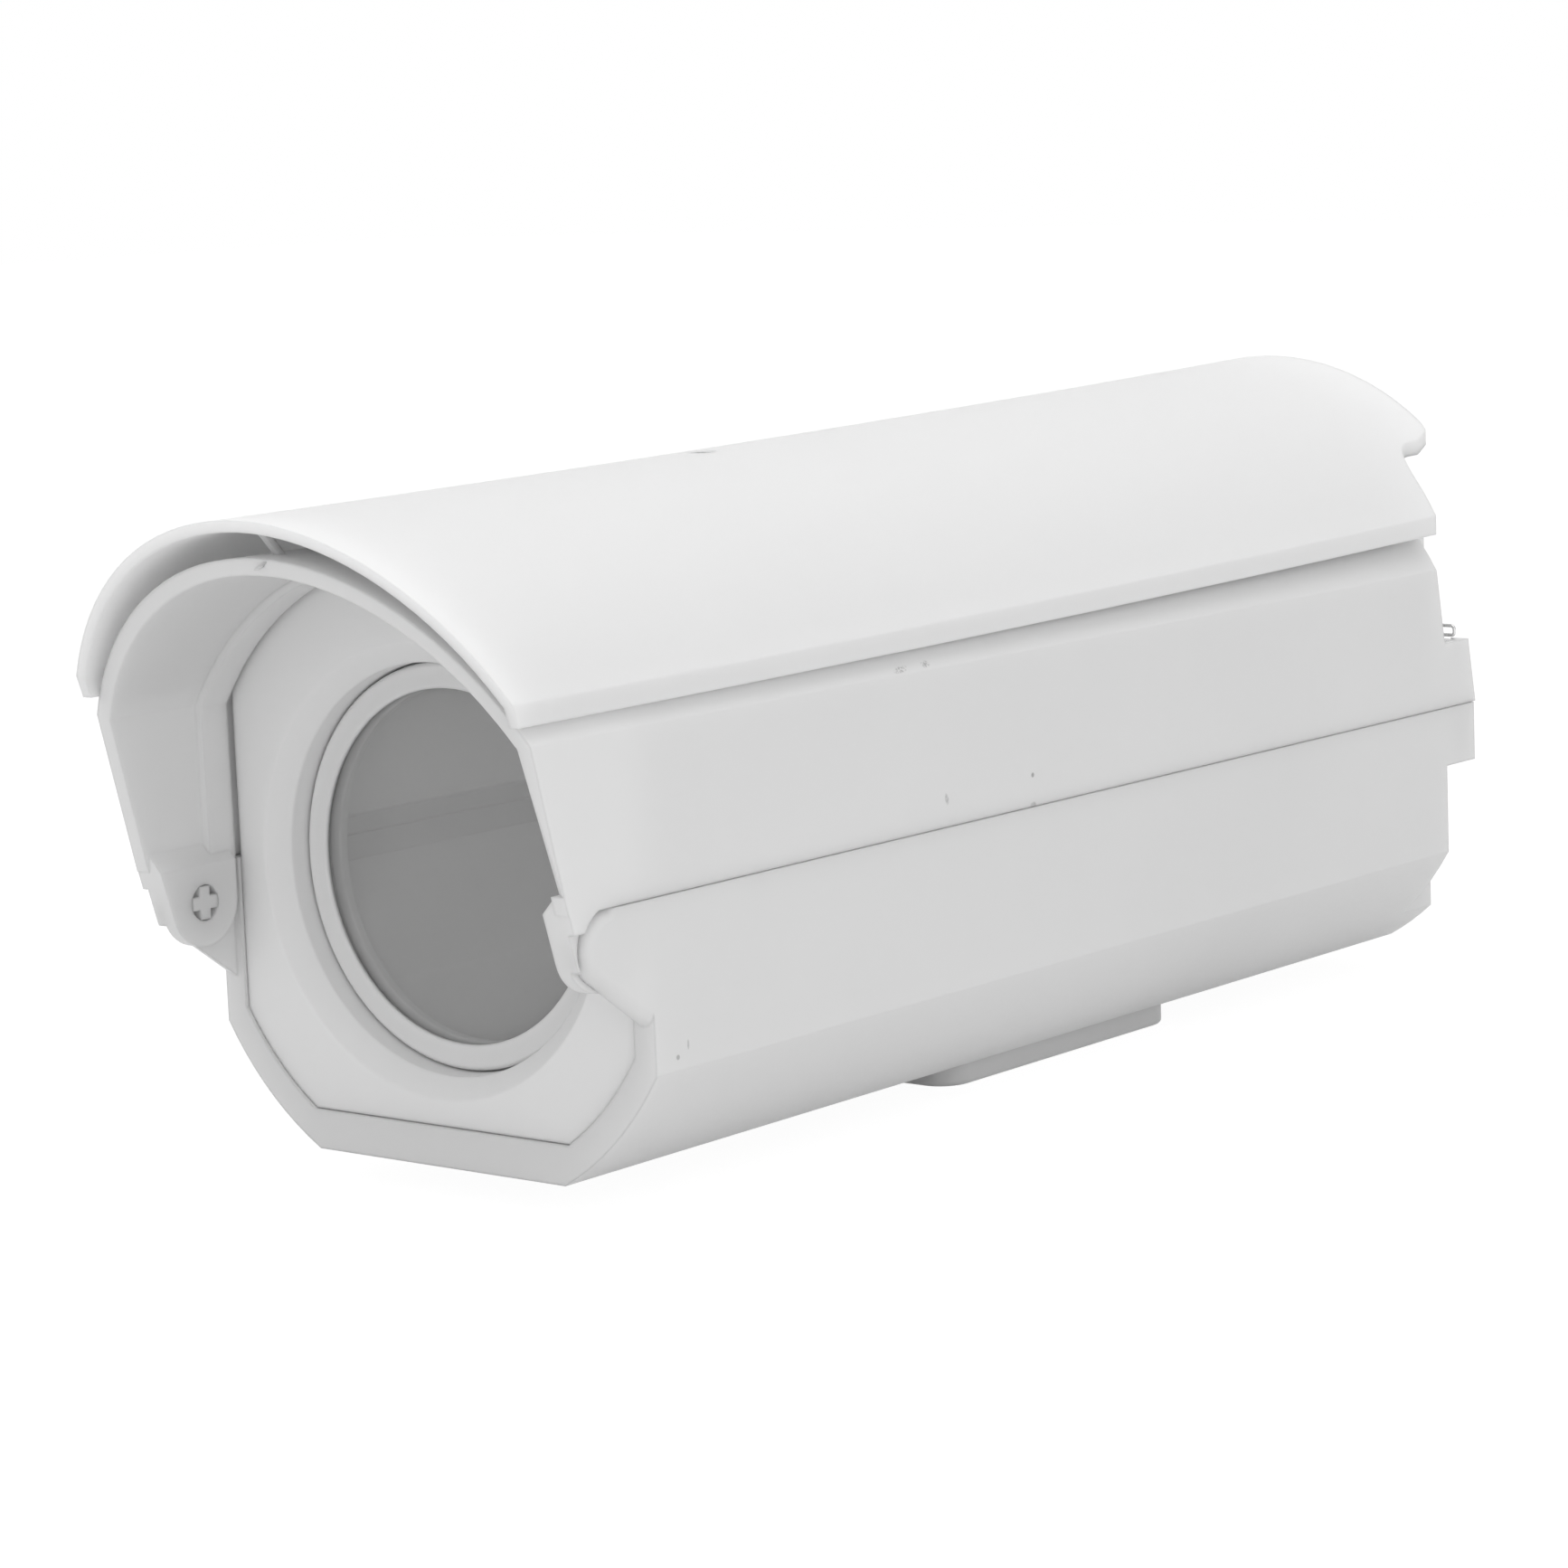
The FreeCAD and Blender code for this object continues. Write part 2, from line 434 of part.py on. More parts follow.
corner = pad(cover, "CoverCorner", sketch(cover, "CornerSide", "YZ_Plane", "tail_half_w - wall", [corner]),
             "half_w - tail_half_w + wall")
mirror(cover, "CoverCorners", [corner])
# Boss and post on the roof that carry the sunshield, and the leaning web that holds up its front
pad(cover, "ScrewBoss", sketch(cover, "ScrewBossPlan", "XY_Plane", "roof_in_z + wall / 2",
                               circles=[("0", "screw_y", "boss_r")]),
    "cup_under - boss_gap - roof_in_z - wall / 2")
post = ("0", "rear_spacer_y", "rear_spacer_r")
post_top = "mid_top + (rear_top - mid_top) * (rear_spacer_y - screw_y) / (shield_rear_y - screw_y)"
pad(cover, "RearSpacer", sketch(cover, "RearSpacerPlan", "XY_Plane", "roof_in_z + wall / 2", circles=[post]),
    post_top + " - shield_t - 4 * spacer_gap - roof_in_z - wall / 2")
web_top = "(front_top - shield_t - spacer_gap)"
web = [("-web_front_y", "crown_z - wall / 2"), ("-web_front_y + web_t", "crown_z - wall / 2"),
       ("-web_front_y + web_t - web_lean", web_top), ("-web_front_y - web_lean", web_top)]
pad(cover, "FrontWeb", sketch(cover, "WebSide", "YZ_Plane", "0", [web]), "web_w", both=True)
# Inside of the hood and the cover, leaving a ledge along the seam
hood_in = arch_loop("half_w - wall", "roof_r - wall", "0")
pocket(cover, "HoodInside", sketch(cover, "HoodInsideOutline", "XZ_Plane", hood_y, [hood_in]),
       "shield_front_y + groove_y")
cover_shelf = "cover_z + cover_ledge_h"
main_in = arch_loop("half_w - wall", "roof_r - wall", cover_shelf)
pocket(cover, "CoverInside", sketch(cover, "CoverInsideOutline", "XZ_Plane", "groove_y", [main_in]),
       "body_len - rear_lean - wall - groove_y")
tail_void = arch_loop("tail_half_w - wall", "roof_r - wall", cover_shelf)
pocket(cover, "TailInside", sketch(cover, "TailInsideOutline", "XZ_Plane", "body_len - 3 * wall", [tail_void]),
       "tail_len + 2 * wall")
mouth = opening_loop("ledge_in", "groove_y - wall")
pocket(cover, "CoverMouth", sketch(cover, "CoverMouthPlan", "XY_Plane", cover_shelf, [mouth]),
       "cover_ledge_h + seam_gap")
pad(cover, "InsideBoss", sketch(cover, "InsideBossPlan", "XY_Plane", "roof_in_z - boss_inside",
                                circles=[("0", "screw_y", "boss_r")]), "boss_inside + wall / 2")
pocket(cover, "ScrewHole", sketch(cover, "ScrewHolePlan", "XY_Plane", "cup_under - boss_gap",
                                  circles=[("0", "screw_y", "shield_screw_r + screw_gap")]),
       "shield_screw_len - cup_floor + boss_gap")
tongue = track_loop("groove_in", "tongue_w", "groove_y + tongue_inset")
pad(cover, "Tongue", sketch(cover, "TonguePlan", "XY_Plane", "cover_z", [tongue]), "tongue_h", back=True)
# Rib round the inside of the hood, just ahead of the window plate
rib_out, rib_arc = "(half_w - wall / 2)", "(roof_r - wall / 2)"
rib_in, rib_in_arc = "(half_w - wall - rib_in)", "(roof_r - wall - rib_in)"
outer, inner = arch_loop(rib_out, rib_arc, "cover_z"), arch_loop(rib_in, rib_in_arc, "cover_z")
rib = outer + [inner[3], inner[2] + (rib_in_arc, -1), inner[1][:2], inner[0]]
pad(cover, "HoodRib", sketch(cover, "RibOutline", "XZ_Plane", "-rib_gap - rib_w", [rib]), "rib_w", back=True)
# Hinge ears inside the noses, with a strip that wraps the front of each nose
qy, qz = "(pivot_y - ear_front_y)", "(cover_z - pivot_z)"
qq = "(%s^2 + %s^2)" % (qy, qz)


def touch(r):
    """Point where the ear's sloping front edge touches a circle of radius r about the pivot."""
    root = "sqrt(%s - (%s)^2)" % (qq, r)
    return ("-pivot_y + ((%s)^2 * %s - (%s) * %s * %s) / %s" % (r, qy, r, root, qz, qq),
            "pivot_z + ((%s)^2 * %s + (%s) * %s * %s) / %s" % (r, qz, r, root, qy, qq))


t_y, t_z = touch("ear_r")
back_y = "-pivot_y + ear_r"
ear = [(back_y, "cover_z"), ("-ear_front_y", "cover_z"),
       (t_y, t_z, "ear_r", 1), ("-pivot_y", "pivot_z - ear_r", "ear_r", 1), (back_y, "pivot_z")]
ear_a = pad(cover, "Ear", sketch(cover, "EarSide", "YZ_Plane", "ear_x", [ear]), "ear_t")
# Wedge that joins the top of the ear to the side wall
root = [("ear_x", "cover_z"), ("half_w - wall / 2", "cover_z"), ("half_w - wall / 2", "ear_top"),
        ("half_w - wall", "ear_top")]
ear_b = pad(cover, "EarRoot", sketch(cover, "EarRootFront", "XZ_Plane", "-ear_front_y", [root]),
            "ear_front_y - pivot_y + ear_r", back=True)
start_y = "-pivot_y - sqrt(wrap_r^2 - %s^2)" % qz
end_y, end_z = "-pivot_y - wrap_r * cos(wrap_turn)", "pivot_z - wrap_r * sin(wrap_turn)"
tip_y, tip_z = "-pivot_y - ear_r * cos(wrap_turn)", "pivot_z - ear_r * sin(wrap_turn)"
wrap = [("-ear_front_y", "cover_z + wall / 2"), ("-ear_front_y", "cover_z"), (t_y, t_z, "ear_r", 1),
        (tip_y, tip_z), (end_y, end_z, "wrap_r", -1), (start_y, "cover_z"), (start_y, "cover_z + wall / 2")]
ear_c = pad(cover, "Wrap", sketch(cover, "WrapSide", "YZ_Plane", "ear_x + ear_t / 2", [wrap]),
            "ear_t / 2 + ear_gap + wall - wrap_inset")
claw_y = "-pivot_y - sqrt(wrap_r^2 - (claw_z - pivot_z)^2)"
slope = "((%s + ear_front_y) / (%s - cover_z))" % (t_y, t_z)
claw = [("-ear_front_y", "cover_z + wall / 2"), ("-ear_front_y", "cover_z"),
        ("-ear_front_y + %s * (claw_z - cover_z)" % slope, "claw_z"), (claw_y, "claw_z", "wrap_r", -1),
        (start_y, "cover_z"), (start_y, "cover_z + wall / 2")]
ear_d = pad(cover, "Claw", sketch(cover, "ClawSide", "YZ_Plane", "half_w - wall / 2", [claw]), "wall / 2")
hole = sketch(cover, "EarHolePlan", "YZ_Plane", "ear_x", circles=[("-pivot_y", "pivot_z", "pin_r + hole_gap")])
ear_e = pocket(cover, "EarHole", hole, "ear_t", back=True)
mirror(cover, "Ears", [ear_a, ear_b, ear_c, ear_d, ear_e])
# Stud bore and disc seat in each corner block
bores = []
for name, r, deep in (("StudBore", "stud_r + stud_gap", "block_top - seam_z + wall"),
                      ("DiscSeat", "seat_r", "seat_deep")):
    plan = sketch(cover, name + "Plan", "XY_Plane", "block_top", circles=[("stud_x", "stud_y", r)])
    bores.append(pocket(cover, name, plan, deep))
mirror(cover, "StudBores", bores)

# Sunshield: an arched shell that rises and bows a little towards the rear
shield = keep(new_body("sunshield"), "sunshield")


def shield_loop(top, shoulder):
    rise = "((%s) - (%s))" % (top, shoulder)
    arc = "((shield_half_w^2 + %s^2) / (2 * %s))" % (rise, rise)
    mid = "((%s) - %s)" % (top, arc)
    inner_x = "(shield_half_w - shield_t)"
    inner_z = "(%s + sqrt((%s - shield_t)^2 - %s^2))" % (mid, arc, inner_x)
    low = "((%s) - flange_h)" % shoulder
    return [("shield_half_w", low), ("shield_half_w", shoulder, arc, 1), ("-shield_half_w", shoulder),
            ("-shield_half_w", low), ("-" + inner_x, low), ("-" + inner_x, inner_z, arc + " - shield_t", -1),
            (inner_x, inner_z), (inner_x, low)]


stations = [("-shield_front_y", "front_top", "front_shoulder"), ("screw_y", "mid_top", "mid_shoulder"),
            ("shield_rear_y", "rear_top", "rear_shoulder")]
cuts = [sketch(shield, "ShieldSection%d" % n, "XZ_Plane", y, [shield_loop(t, s)])
        for n, (y, t, s) in enumerate(stations, 1)]
loft = shield.newObject("PartDesign::AdditiveLoft", "Shell")
loft.Profile = cuts[0]
loft.Sections = cuts[1:]
loft.Ruled = False
tilt = "((shield_nose_y - shield_low_y) / (front_top - front_shoulder + flange_h))"
low_z = "(front_shoulder - flange_h)"
front_cut = [("-3 * shield_front_y", "0"), ("-shield_low_y + %s * %s" % (tilt, low_z), "0"),
             ("-shield_low_y - %s * (2 * front_top - %s)" % (tilt, low_z), "2 * front_top"),
             ("-3 * shield_front_y", "2 * front_top")]
pocket(shield, "FrontRake", sketch(shield, "FrontRakeSide", "YZ_Plane", "0", [front_cut]), "4 * half_w",
       both=True)
side, end = "shield_half_w + shield_t", "2 * shield_rear_y"
notch_x, tip_y = "tab_half_w + tab_notch_r", "(tab_y - tab_r * (1 - sin(tab_lean)))"
tip_x = "(tab_half_w - (%s - cut_y - tab_notch_r) * tan(tab_lean))" % tip_y
end_x = "%s - tab_r * cos(tab_lean)" % tip_x
rear_cut = [(side, end), (side, "cut_y - cut_rake"), (notch_x, "cut_y", "tab_notch_r", -1),
            ("tab_half_w", "cut_y + tab_notch_r"), (tip_x, tip_y, "tab_r", 1), (end_x, "tab_y"),
            ("-(%s)" % end_x, "tab_y", "tab_r", 1), ("-" + tip_x, tip_y),
            ("-tab_half_w", "cut_y + tab_notch_r", "tab_notch_r", -1), ("-(%s)" % notch_x, "cut_y"),
            ("-(%s)" % side, "cut_y - cut_rake"), ("-(%s)" % side, end)]
pocket(shield, "RearTab", sketch(shield, "RearPlan", "XY_Plane", "0", [rear_cut]), "2 * rear_top", back=True)
pad(shield, "ScrewCup", sketch(shield, "CupPlan", "XY_Plane", "cup_under", circles=[("0", "screw_y", "cup_r")]),
    "cup_deep + cup_floor - shield_t / 2")
pocket(shield, "CupBore", sketch(shield, "CupBorePlan", "XY_Plane", "mid_top + wall",
                                 circles=[("0", "screw_y", "cup_bore_r")]), "wall + cup_deep")
pocket(shield, "CupHole", sketch(shield, "CupHolePlan", "XY_Plane", "mid_top",
                                 circles=[("0", "screw_y", "shield_screw_r + 4 * screw_gap")]), "2 * cup_deep")

# Window plate with its bevelled opening and the cup behind it
plate = keep(new_body("front_plate"), "front_plate")
slot_half, slot_arc = "half_w - rim_side + slot_deep - plate_gap", "keel_r - rim_arc + slot_deep - plate_gap"
flange = plate_loop(slot_half, slot_arc, "rim_floor - slot_deep + plate_gap", "roof_r - wall - plate_top_gap")
pad(plate, "PlateFlange", sketch(plate, "FlangeOutline", "XZ_Plane", "slot_y + plate_gap", [flange]),
    "slot_w - 2 * plate_gap", back=True)
panel = plate_loop("half_w - rim_side - plate_gap", "keel_r - rim_arc - plate_gap", "rim_floor + plate_gap",
                   "roof_r - wall - plate_top_gap - plate_gap")
pad(plate, "PlatePanel", sketch(plate, "PanelOutline", "XZ_Plane", "panel_y", [panel]),
    "slot_y + 2 * plate_gap - panel_y", back=True)
cup_len = "bezel_end_y - slot_y - plate_gap"
pad(plate, "WindowCup", sketch(plate, "CupOutline", "XZ_Plane", "slot_y + plate_gap",
                               circles=[("0", "axis_z", "cup_out_r")]), cup_len, back=True)
diag = "clamp_pitch_r * sqrt(0.5)"
clamp_spots = [(sx + diag, "axis_z %s %s" % (sz, diag)) for sx in ("", "-") for sz in "+-"]
clamp_bosses = [(x, z, "clamp_boss_r") for x, z in clamp_spots]
pad(plate, "ClampBosses", sketch(plate, "ClampBossPlan", "XZ_Plane", "slot_y + plate_gap",
                                 circles=clamp_bosses), cup_len, back=True)
cut = [("panel_y - wall", "0"), ("panel_y - wall", "bevel_r"), ("panel_y", "bevel_r"),
       ("bevel_end_y", "bore_r"), ("flange_y - glass_gap", "bore_r"), ("flange_y - glass_gap", "cup_in_r"),
       ("2 * bezel_end_y", "cup_in_r"), ("2 * bezel_end_y", "0")]
spun(plate, "WindowOpening", sketch(plate, "OpeningProfile", "YZ_Plane", "0", [cut], raise_by="axis_z"),
     "PartDesign::Groove")
clamp_holes = [(x, z, "clamp_screw_r + screw_gap") for x, z in clamp_spots]
pocket(plate, "ClampHoles", sketch(plate, "ClampHolePlan", "XZ_Plane", "clamp_y", circles=clamp_holes),
       "clamp_screw_len", back=True)


def turned(name, profile):
    """Ring or disc turned about the window axis; its outline is (along, radius)."""
    body = keep(new_body(name), name)
    spun(body, "Turned", sketch(body, "Profile", "YZ_Plane", "0", [profile], raise_by="axis_z"))
    return body


# Window ring with a lip in front, then seal, glass and clamp stacked behind the lip
edge, socket = "bezel_edge", "glass_r + glass_gap"
turned("window_bezel", [("bezel_y", "bezel_in_r + %s / 4" % edge), ("bezel_y", "bezel_out_r - %s / 2" % edge),
                        ("bezel_y + %s / 2" % edge, "bezel_out_r"), ("flange_y", "bezel_out_r"),
                        ("flange_y", "bezel_flange_r"), ("bezel_end_y", "bezel_flange_r"),
                        ("bezel_end_y", socket), ("gasket_y", socket), ("gasket_y", "bezel_in_r"),
                        ("bezel_y + %s / 4" % edge, "bezel_in_r")])
turned("window_gasket", box_loop("gasket_y", "glass_y", "glass_r - gasket_w", "glass_r"))
turned("window_glass", box_loop("glass_y", "glass_y + glass_t", "0", "glass_r"))
clamp = turned("glass_clamp", [("tube_y", "bezel_in_r"), ("tube_y", "glass_r - tube_gap"),
                               ("clamp_y", "glass_r - tube_gap"), ("clamp_y", "cup_out_r"),
                               ("clamp_y + clamp_t", "cup_out_r"),
                               ("clamp_y + clamp_t", "bezel_in_r + clamp_flare"),
                               ("clamp_y + clamp_t - clamp_flare", "bezel_in_r")])
pad(clamp, "ClampEars", sketch(clamp, "EarPlan", "XZ_Plane", "clamp_y", circles=clamp_bosses), "clamp_t",
    back=True)
ear_holes = [(x, z, "clamp_screw_r + 2 * screw_gap") for x, z in clamp_spots]
pocket(clamp, "EarHoles", sketch(clamp, "EarHolePlan", "XZ_Plane", "clamp_y", circles=ear_holes), "clamp_t")

# Seal in the seam groove
seal = keep(new_body("lid_seal"), "lid_seal")
strip = track_loop("groove_in", "seal_w", "groove_y + (groove_w - seal_w) / 2")
pad(seal, "SealStrip", sketch(seal, "SealPlan", "XY_Plane", "seam_z - groove_deep", [strip]), "seal_h")

# Camera tray with turned-up sides
tray = keep(new_body("camera_tray"), "camera_tray")
lip_z, sheet_z = "tray_z + tray_lip", "tray_z + tray_t"
u = [("-tray_half_w", "tray_z"), ("tray_half_w", "tray_z"), ("tray_half_w", lip_z),
     ("tray_half_w - tray_t", lip_z), ("tray_half_w - tray_t", sheet_z), ("-tray_half_w + tray_t", sheet_z),
     ("-tray_half_w + tray_t", lip_z), ("-tray_half_w", lip_z)]
pad(tray, "Channel", sketch(tray, "ChannelOutline", "XZ_Plane", "tray_y", [u]), "tray_len", back=True)
r, near, far = "slot_half_w", "camera_y - slot_half_len", "camera_y + slot_half_len"
long_slot = [("-" + r, far, r, -1), ("0", "%s + %s" % (far, r), r, -1), (r, far),
             (r, near, r, -1), ("0", "%s - %s" % (near, r), r, -1), ("-" + r, near)]
pocket(tray, "CameraSlot", sketch(tray, "SlotPlan", "XY_Plane", sheet_z, [long_slot]), "2 * tray_t")
tray_holes = [(x, y, "tray_screw_r + 4 * screw_gap") for x, y in spots]
pocket(tray, "TrayHoles", sketch(tray, "TrayHolePlan", "XY_Plane", sheet_z, circles=tray_holes), "2 * tray_t")


def cylinder(name, r, length, x, y, z, along="Z"):
    c = doc.addObject("Part::Cylinder", name)
    drive(c, "Radius", r)
    drive(c, "Height", length)
    if along == "Y":
        c.Placement.Rotation = FreeCAD.Rotation(V(1, 0, 0), -90)
    if along == "X":
        c.Placement.Rotation = FreeCAD.Rotation(V(0, 1, 0), 90)
    settle(c, x, y, z)
    return c


def group(name, members):
    g = doc.addObject("Part::Compound", name)
    g.Links = members
    return keep(g, name)


def fuse(name, a, b):
    f = doc.addObject("Part::Fuse", name)
    f.Base, f.Tool = a, b
    return f


def cut_from(name, a, b):
    f = doc.addObject("Part::Cut", name)
    f.Base, f.Tool = a, b
    return f


screws = []
for n, (x, y) in enumerate(spots):
    head = cylinder("TrayHead%d" % n, "tray_head_r", "tray_head_h", x, y, sheet_z)
    shank = cylinder("TrayShank%d" % n, "tray_screw_r", "tray_screw_len + tray_t + tray_head_h / 2", x, y,
                     "tray_z - tray_screw_len")
    screws.append(fuse("TrayScrew%d" % n, head, shank))
group("tray_screws", screws)

screws = []
for n, (x, z) in enumerate(clamp_spots):
    head = cylinder("ClampHead%d" % n, "clamp_head_r", "clamp_head_h", x, "clamp_y + clamp_t", z, "Y")
    shank = cylinder("ClampShank%d" % n, "clamp_screw_r",
                     "clamp_screw_len + clamp_t + clamp_head_h / 2 - 2 * screw_gap", x,
                     "clamp_y - clamp_screw_len + 2 * screw_gap", z, "Y")
    screws.append(fuse("ClampScrew%d" % n, head, shank))
group("clamp_screws", screws)

# Camera screw under the tray, with its nylon washer above
thumb = keep(new_body("camera_screw", "0", "camera_y"), "camera_screw")
pad(thumb, "Knob", sketch(thumb, "KnobPlan", "XY_Plane", "knob_z", circles=[("0", "0", "thumb_r")]),
    "thumb_h", back=True)
flute = [("thumb_r + flute_r / 2", "0", "flute_r")]
flute = pocket(thumb, "Flute", sketch(thumb, "FlutePlan", "XY_Plane", "knob_z", circles=flute), "thumb_h")
flutes = thumb.newObject("PartDesign::PolarPattern", "Flutes")
flutes.Originals = [flute]
flutes.Axis = (flute.Profile[0], ["N_Axis"])
flutes.Angle = 360
flutes.Occurrences = 12
thumb.Tip = flutes
pad(thumb, "Neck", sketch(thumb, "NeckPlan", "XY_Plane", "knob_z - thumb_h / 2",
                          circles=[("0", "0", "thumb_neck_r")]), "thumb_neck_up + thumb_h")
pad(thumb, "Bolt", sketch(thumb, "BoltPlan", "XY_Plane", "knob_z + thumb_neck_up",
                          circles=[("0", "0", "thumb_bolt_r")]), "thumb_bolt_up - thumb_neck_up")
nylon = keep(new_body("screw_washer", "0", "camera_y"), "screw_washer")
pad(nylon, "Disc", sketch(nylon, "DiscPlan", "XY_Plane", sheet_z + " + thumb_gap / 2",
                          circles=[("0", "0", "nylon_r"), ("0", "0", "thumb_neck_r + screw_gap")]), "nylon_t")

# Sunshield screw and washer in the cup
seat_z = "cup_seat + washer_t"
head = cylinder("ShieldHead", "shield_head_r", "shield_head_h", "0", "screw_y", seat_z)
shank = cylinder("ShieldShank", "shield_screw_r", "shield_screw_len + washer_t + shield_head_h / 2", "0",
                 "screw_y", "cup_seat - shield_screw_len")
screw = fuse("ShieldScrewBlank", head, shank)
cross = []
for n, (a, b) in enumerate((("2 * shield_head_r", "drive_w"), ("drive_w", "2 * shield_head_r"))):
    bar = doc.addObject("Part::Box", "Drive%d" % n)
    drive(bar, "Length", a)
    drive(bar, "Width", b)
    drive(bar, "Height", "shield_head_h")
    settle(bar, "-(%s) / 2" % a, "screw_y - (%s) / 2" % b, seat_z + " + shield_head_h / 2")
    cross.append(bar)
keep(cut_from("ShieldScrew", screw, fuse("DriveCross", *cross)), "shield_screw")
blank = cylinder("WasherBlank", "washer_r", "washer_t", "0", "screw_y", "cup_seat")
bore = cylinder("WasherBore", "shield_screw_r + screw_gap", "3 * washer_t", "0", "screw_y",
                "cup_seat - washer_t")
keep(cut_from("ShieldWasher", blank, bore), "shield_washer")

# Threaded inserts in the pad
sleeves = []
for n, (x, y) in enumerate(insert_spots):
    sleeve = cylinder("Sleeve%d" % n, "insert_r", "insert_len", x, y, "insert_sink - pad_h")
    core = cylinder("SleeveBore%d" % n, "insert_bore_r", "2 * insert_len", x, y, "-pad_h - insert_len / 2")
    sleeves.append(cut_from("Insert%d" % n, sleeve, core))
group("mount_inserts", sleeves)

# Cable glands in the rear wall


def hexagon(body, name, flat, at, length):
    """Hexagonal block lying along the body, a corner pointing up."""
    r = "((%s) / sqrt(3))" % flat
    h = "((%s) / 2)" % flat
    loop = [("0", "-" + r), (h, "-%s / 2" % r), (h, r + " / 2"), ("0", r), ("-" + h, r + " / 2"),
            ("-" + h, "-%s / 2" % r)]
    return pad(body, name, sketch(body, name + "Plan", "XZ_Plane", at, [loop]), length, back=True)


def round_pad(body, name, r, at, length):
    return pad(body, name, sketch(body, name + "Plan", "XZ_Plane", at, circles=[("0", "0", r)]), length,
               back=True)


def round_cut(body, name, r, at, length):
    return pocket(body, name, sketch(body, name + "Plan", "XZ_Plane", at, circles=[("0", "0", r)]), length)


for word, sign in (("left", "-"), ("right", "")):
    spot = (sign + "gland_x", "0", "gland_z")
    g = keep(new_body("gland_body_" + word, *spot), "gland_body_" + word)
    hexagon(g, "Hex", "gland_flat", "hex_y", "gland_hex_t")
    round_pad(g, "Thread", "gland_r", "wall_in_y - gland_tail",
              "neck_y - wall_in_y + gland_tail - gland_hex_t / 2")
    round_pad(g, "Neck", "gland_neck_r", "neck_y - gland_hex_t / 2", "gland_neck + gland_hex_t / 2")
    round_cut(g, "Bore", "gland_bore_r", "wall_in_y - 2 * gland_tail", "6 * gland_tail")
    round_cut(g, "InsertSeat", "gland_bore_r + insert_wall", "neck_y", "2 * gland_neck")
    cap = keep(new_body("gland_cap_" + word, *spot), "gland_cap_" + word)
    hexagon(cap, "CapHex", "gland_cap_flat", "cap_y", "gland_cap_len * 0.6")
    round_pad(cap, "CapDome", "gland_cap_flat / 2", "cap_y + gland_cap_len / 2", "gland_cap_len / 2")
    round_cut(cap, "CapBore", "gland_neck_r + gland_fit", "cap_y", "gland_neck")
    round_cut(cap, "CapMouth", "gland_mouth_r", "cap_y", "2 * gland_cap_len")
    dress(cap, "Chamfer", "DomeEdge", "cap_edge",
          lambda m, e: m.y > val("cap_y + gland_cap_len") - 0.01 and e.Length > val("4 * pi * gland_mouth_r"))
    plug = keep(new_body("gland_insert_" + word, *spot), "gland_insert_" + word)
    round_pad(plug, "Sleeve", "gland_bore_r + insert_wall - gland_fit", "neck_y + gland_fit",
              "gland_neck - gland_fit")
    round_cut(plug, "CableBore", "gland_mouth_r", "neck_y", "2 * gland_neck")
rings, nuts = [], []
for n, sign in enumerate(("-", "")):
    spot = (sign + "gland_x", "0", "gland_z")
    ring = new_body("GlandSeal%d" % n, *spot)
    round_pad(ring, "Ring", "gland_seal_r", "rear_y", "gland_seal_t")
    round_cut(ring, "Hole", "gland_r + gland_fit", "rear_y", "gland_seal_t")
    rings.append(ring)
    nut = new_body("Locknut%d" % n, *spot)
    hexagon(nut, "NutHex", "gland_flat", "wall_in_y - locknut_t", "locknut_t")
    round_cut(nut, "NutHole", "gland_r + gland_fit", "wall_in_y - locknut_t", "locknut_t")
    nuts.append(nut)
group("gland_seals", rings)
group("gland_locknuts", nuts)

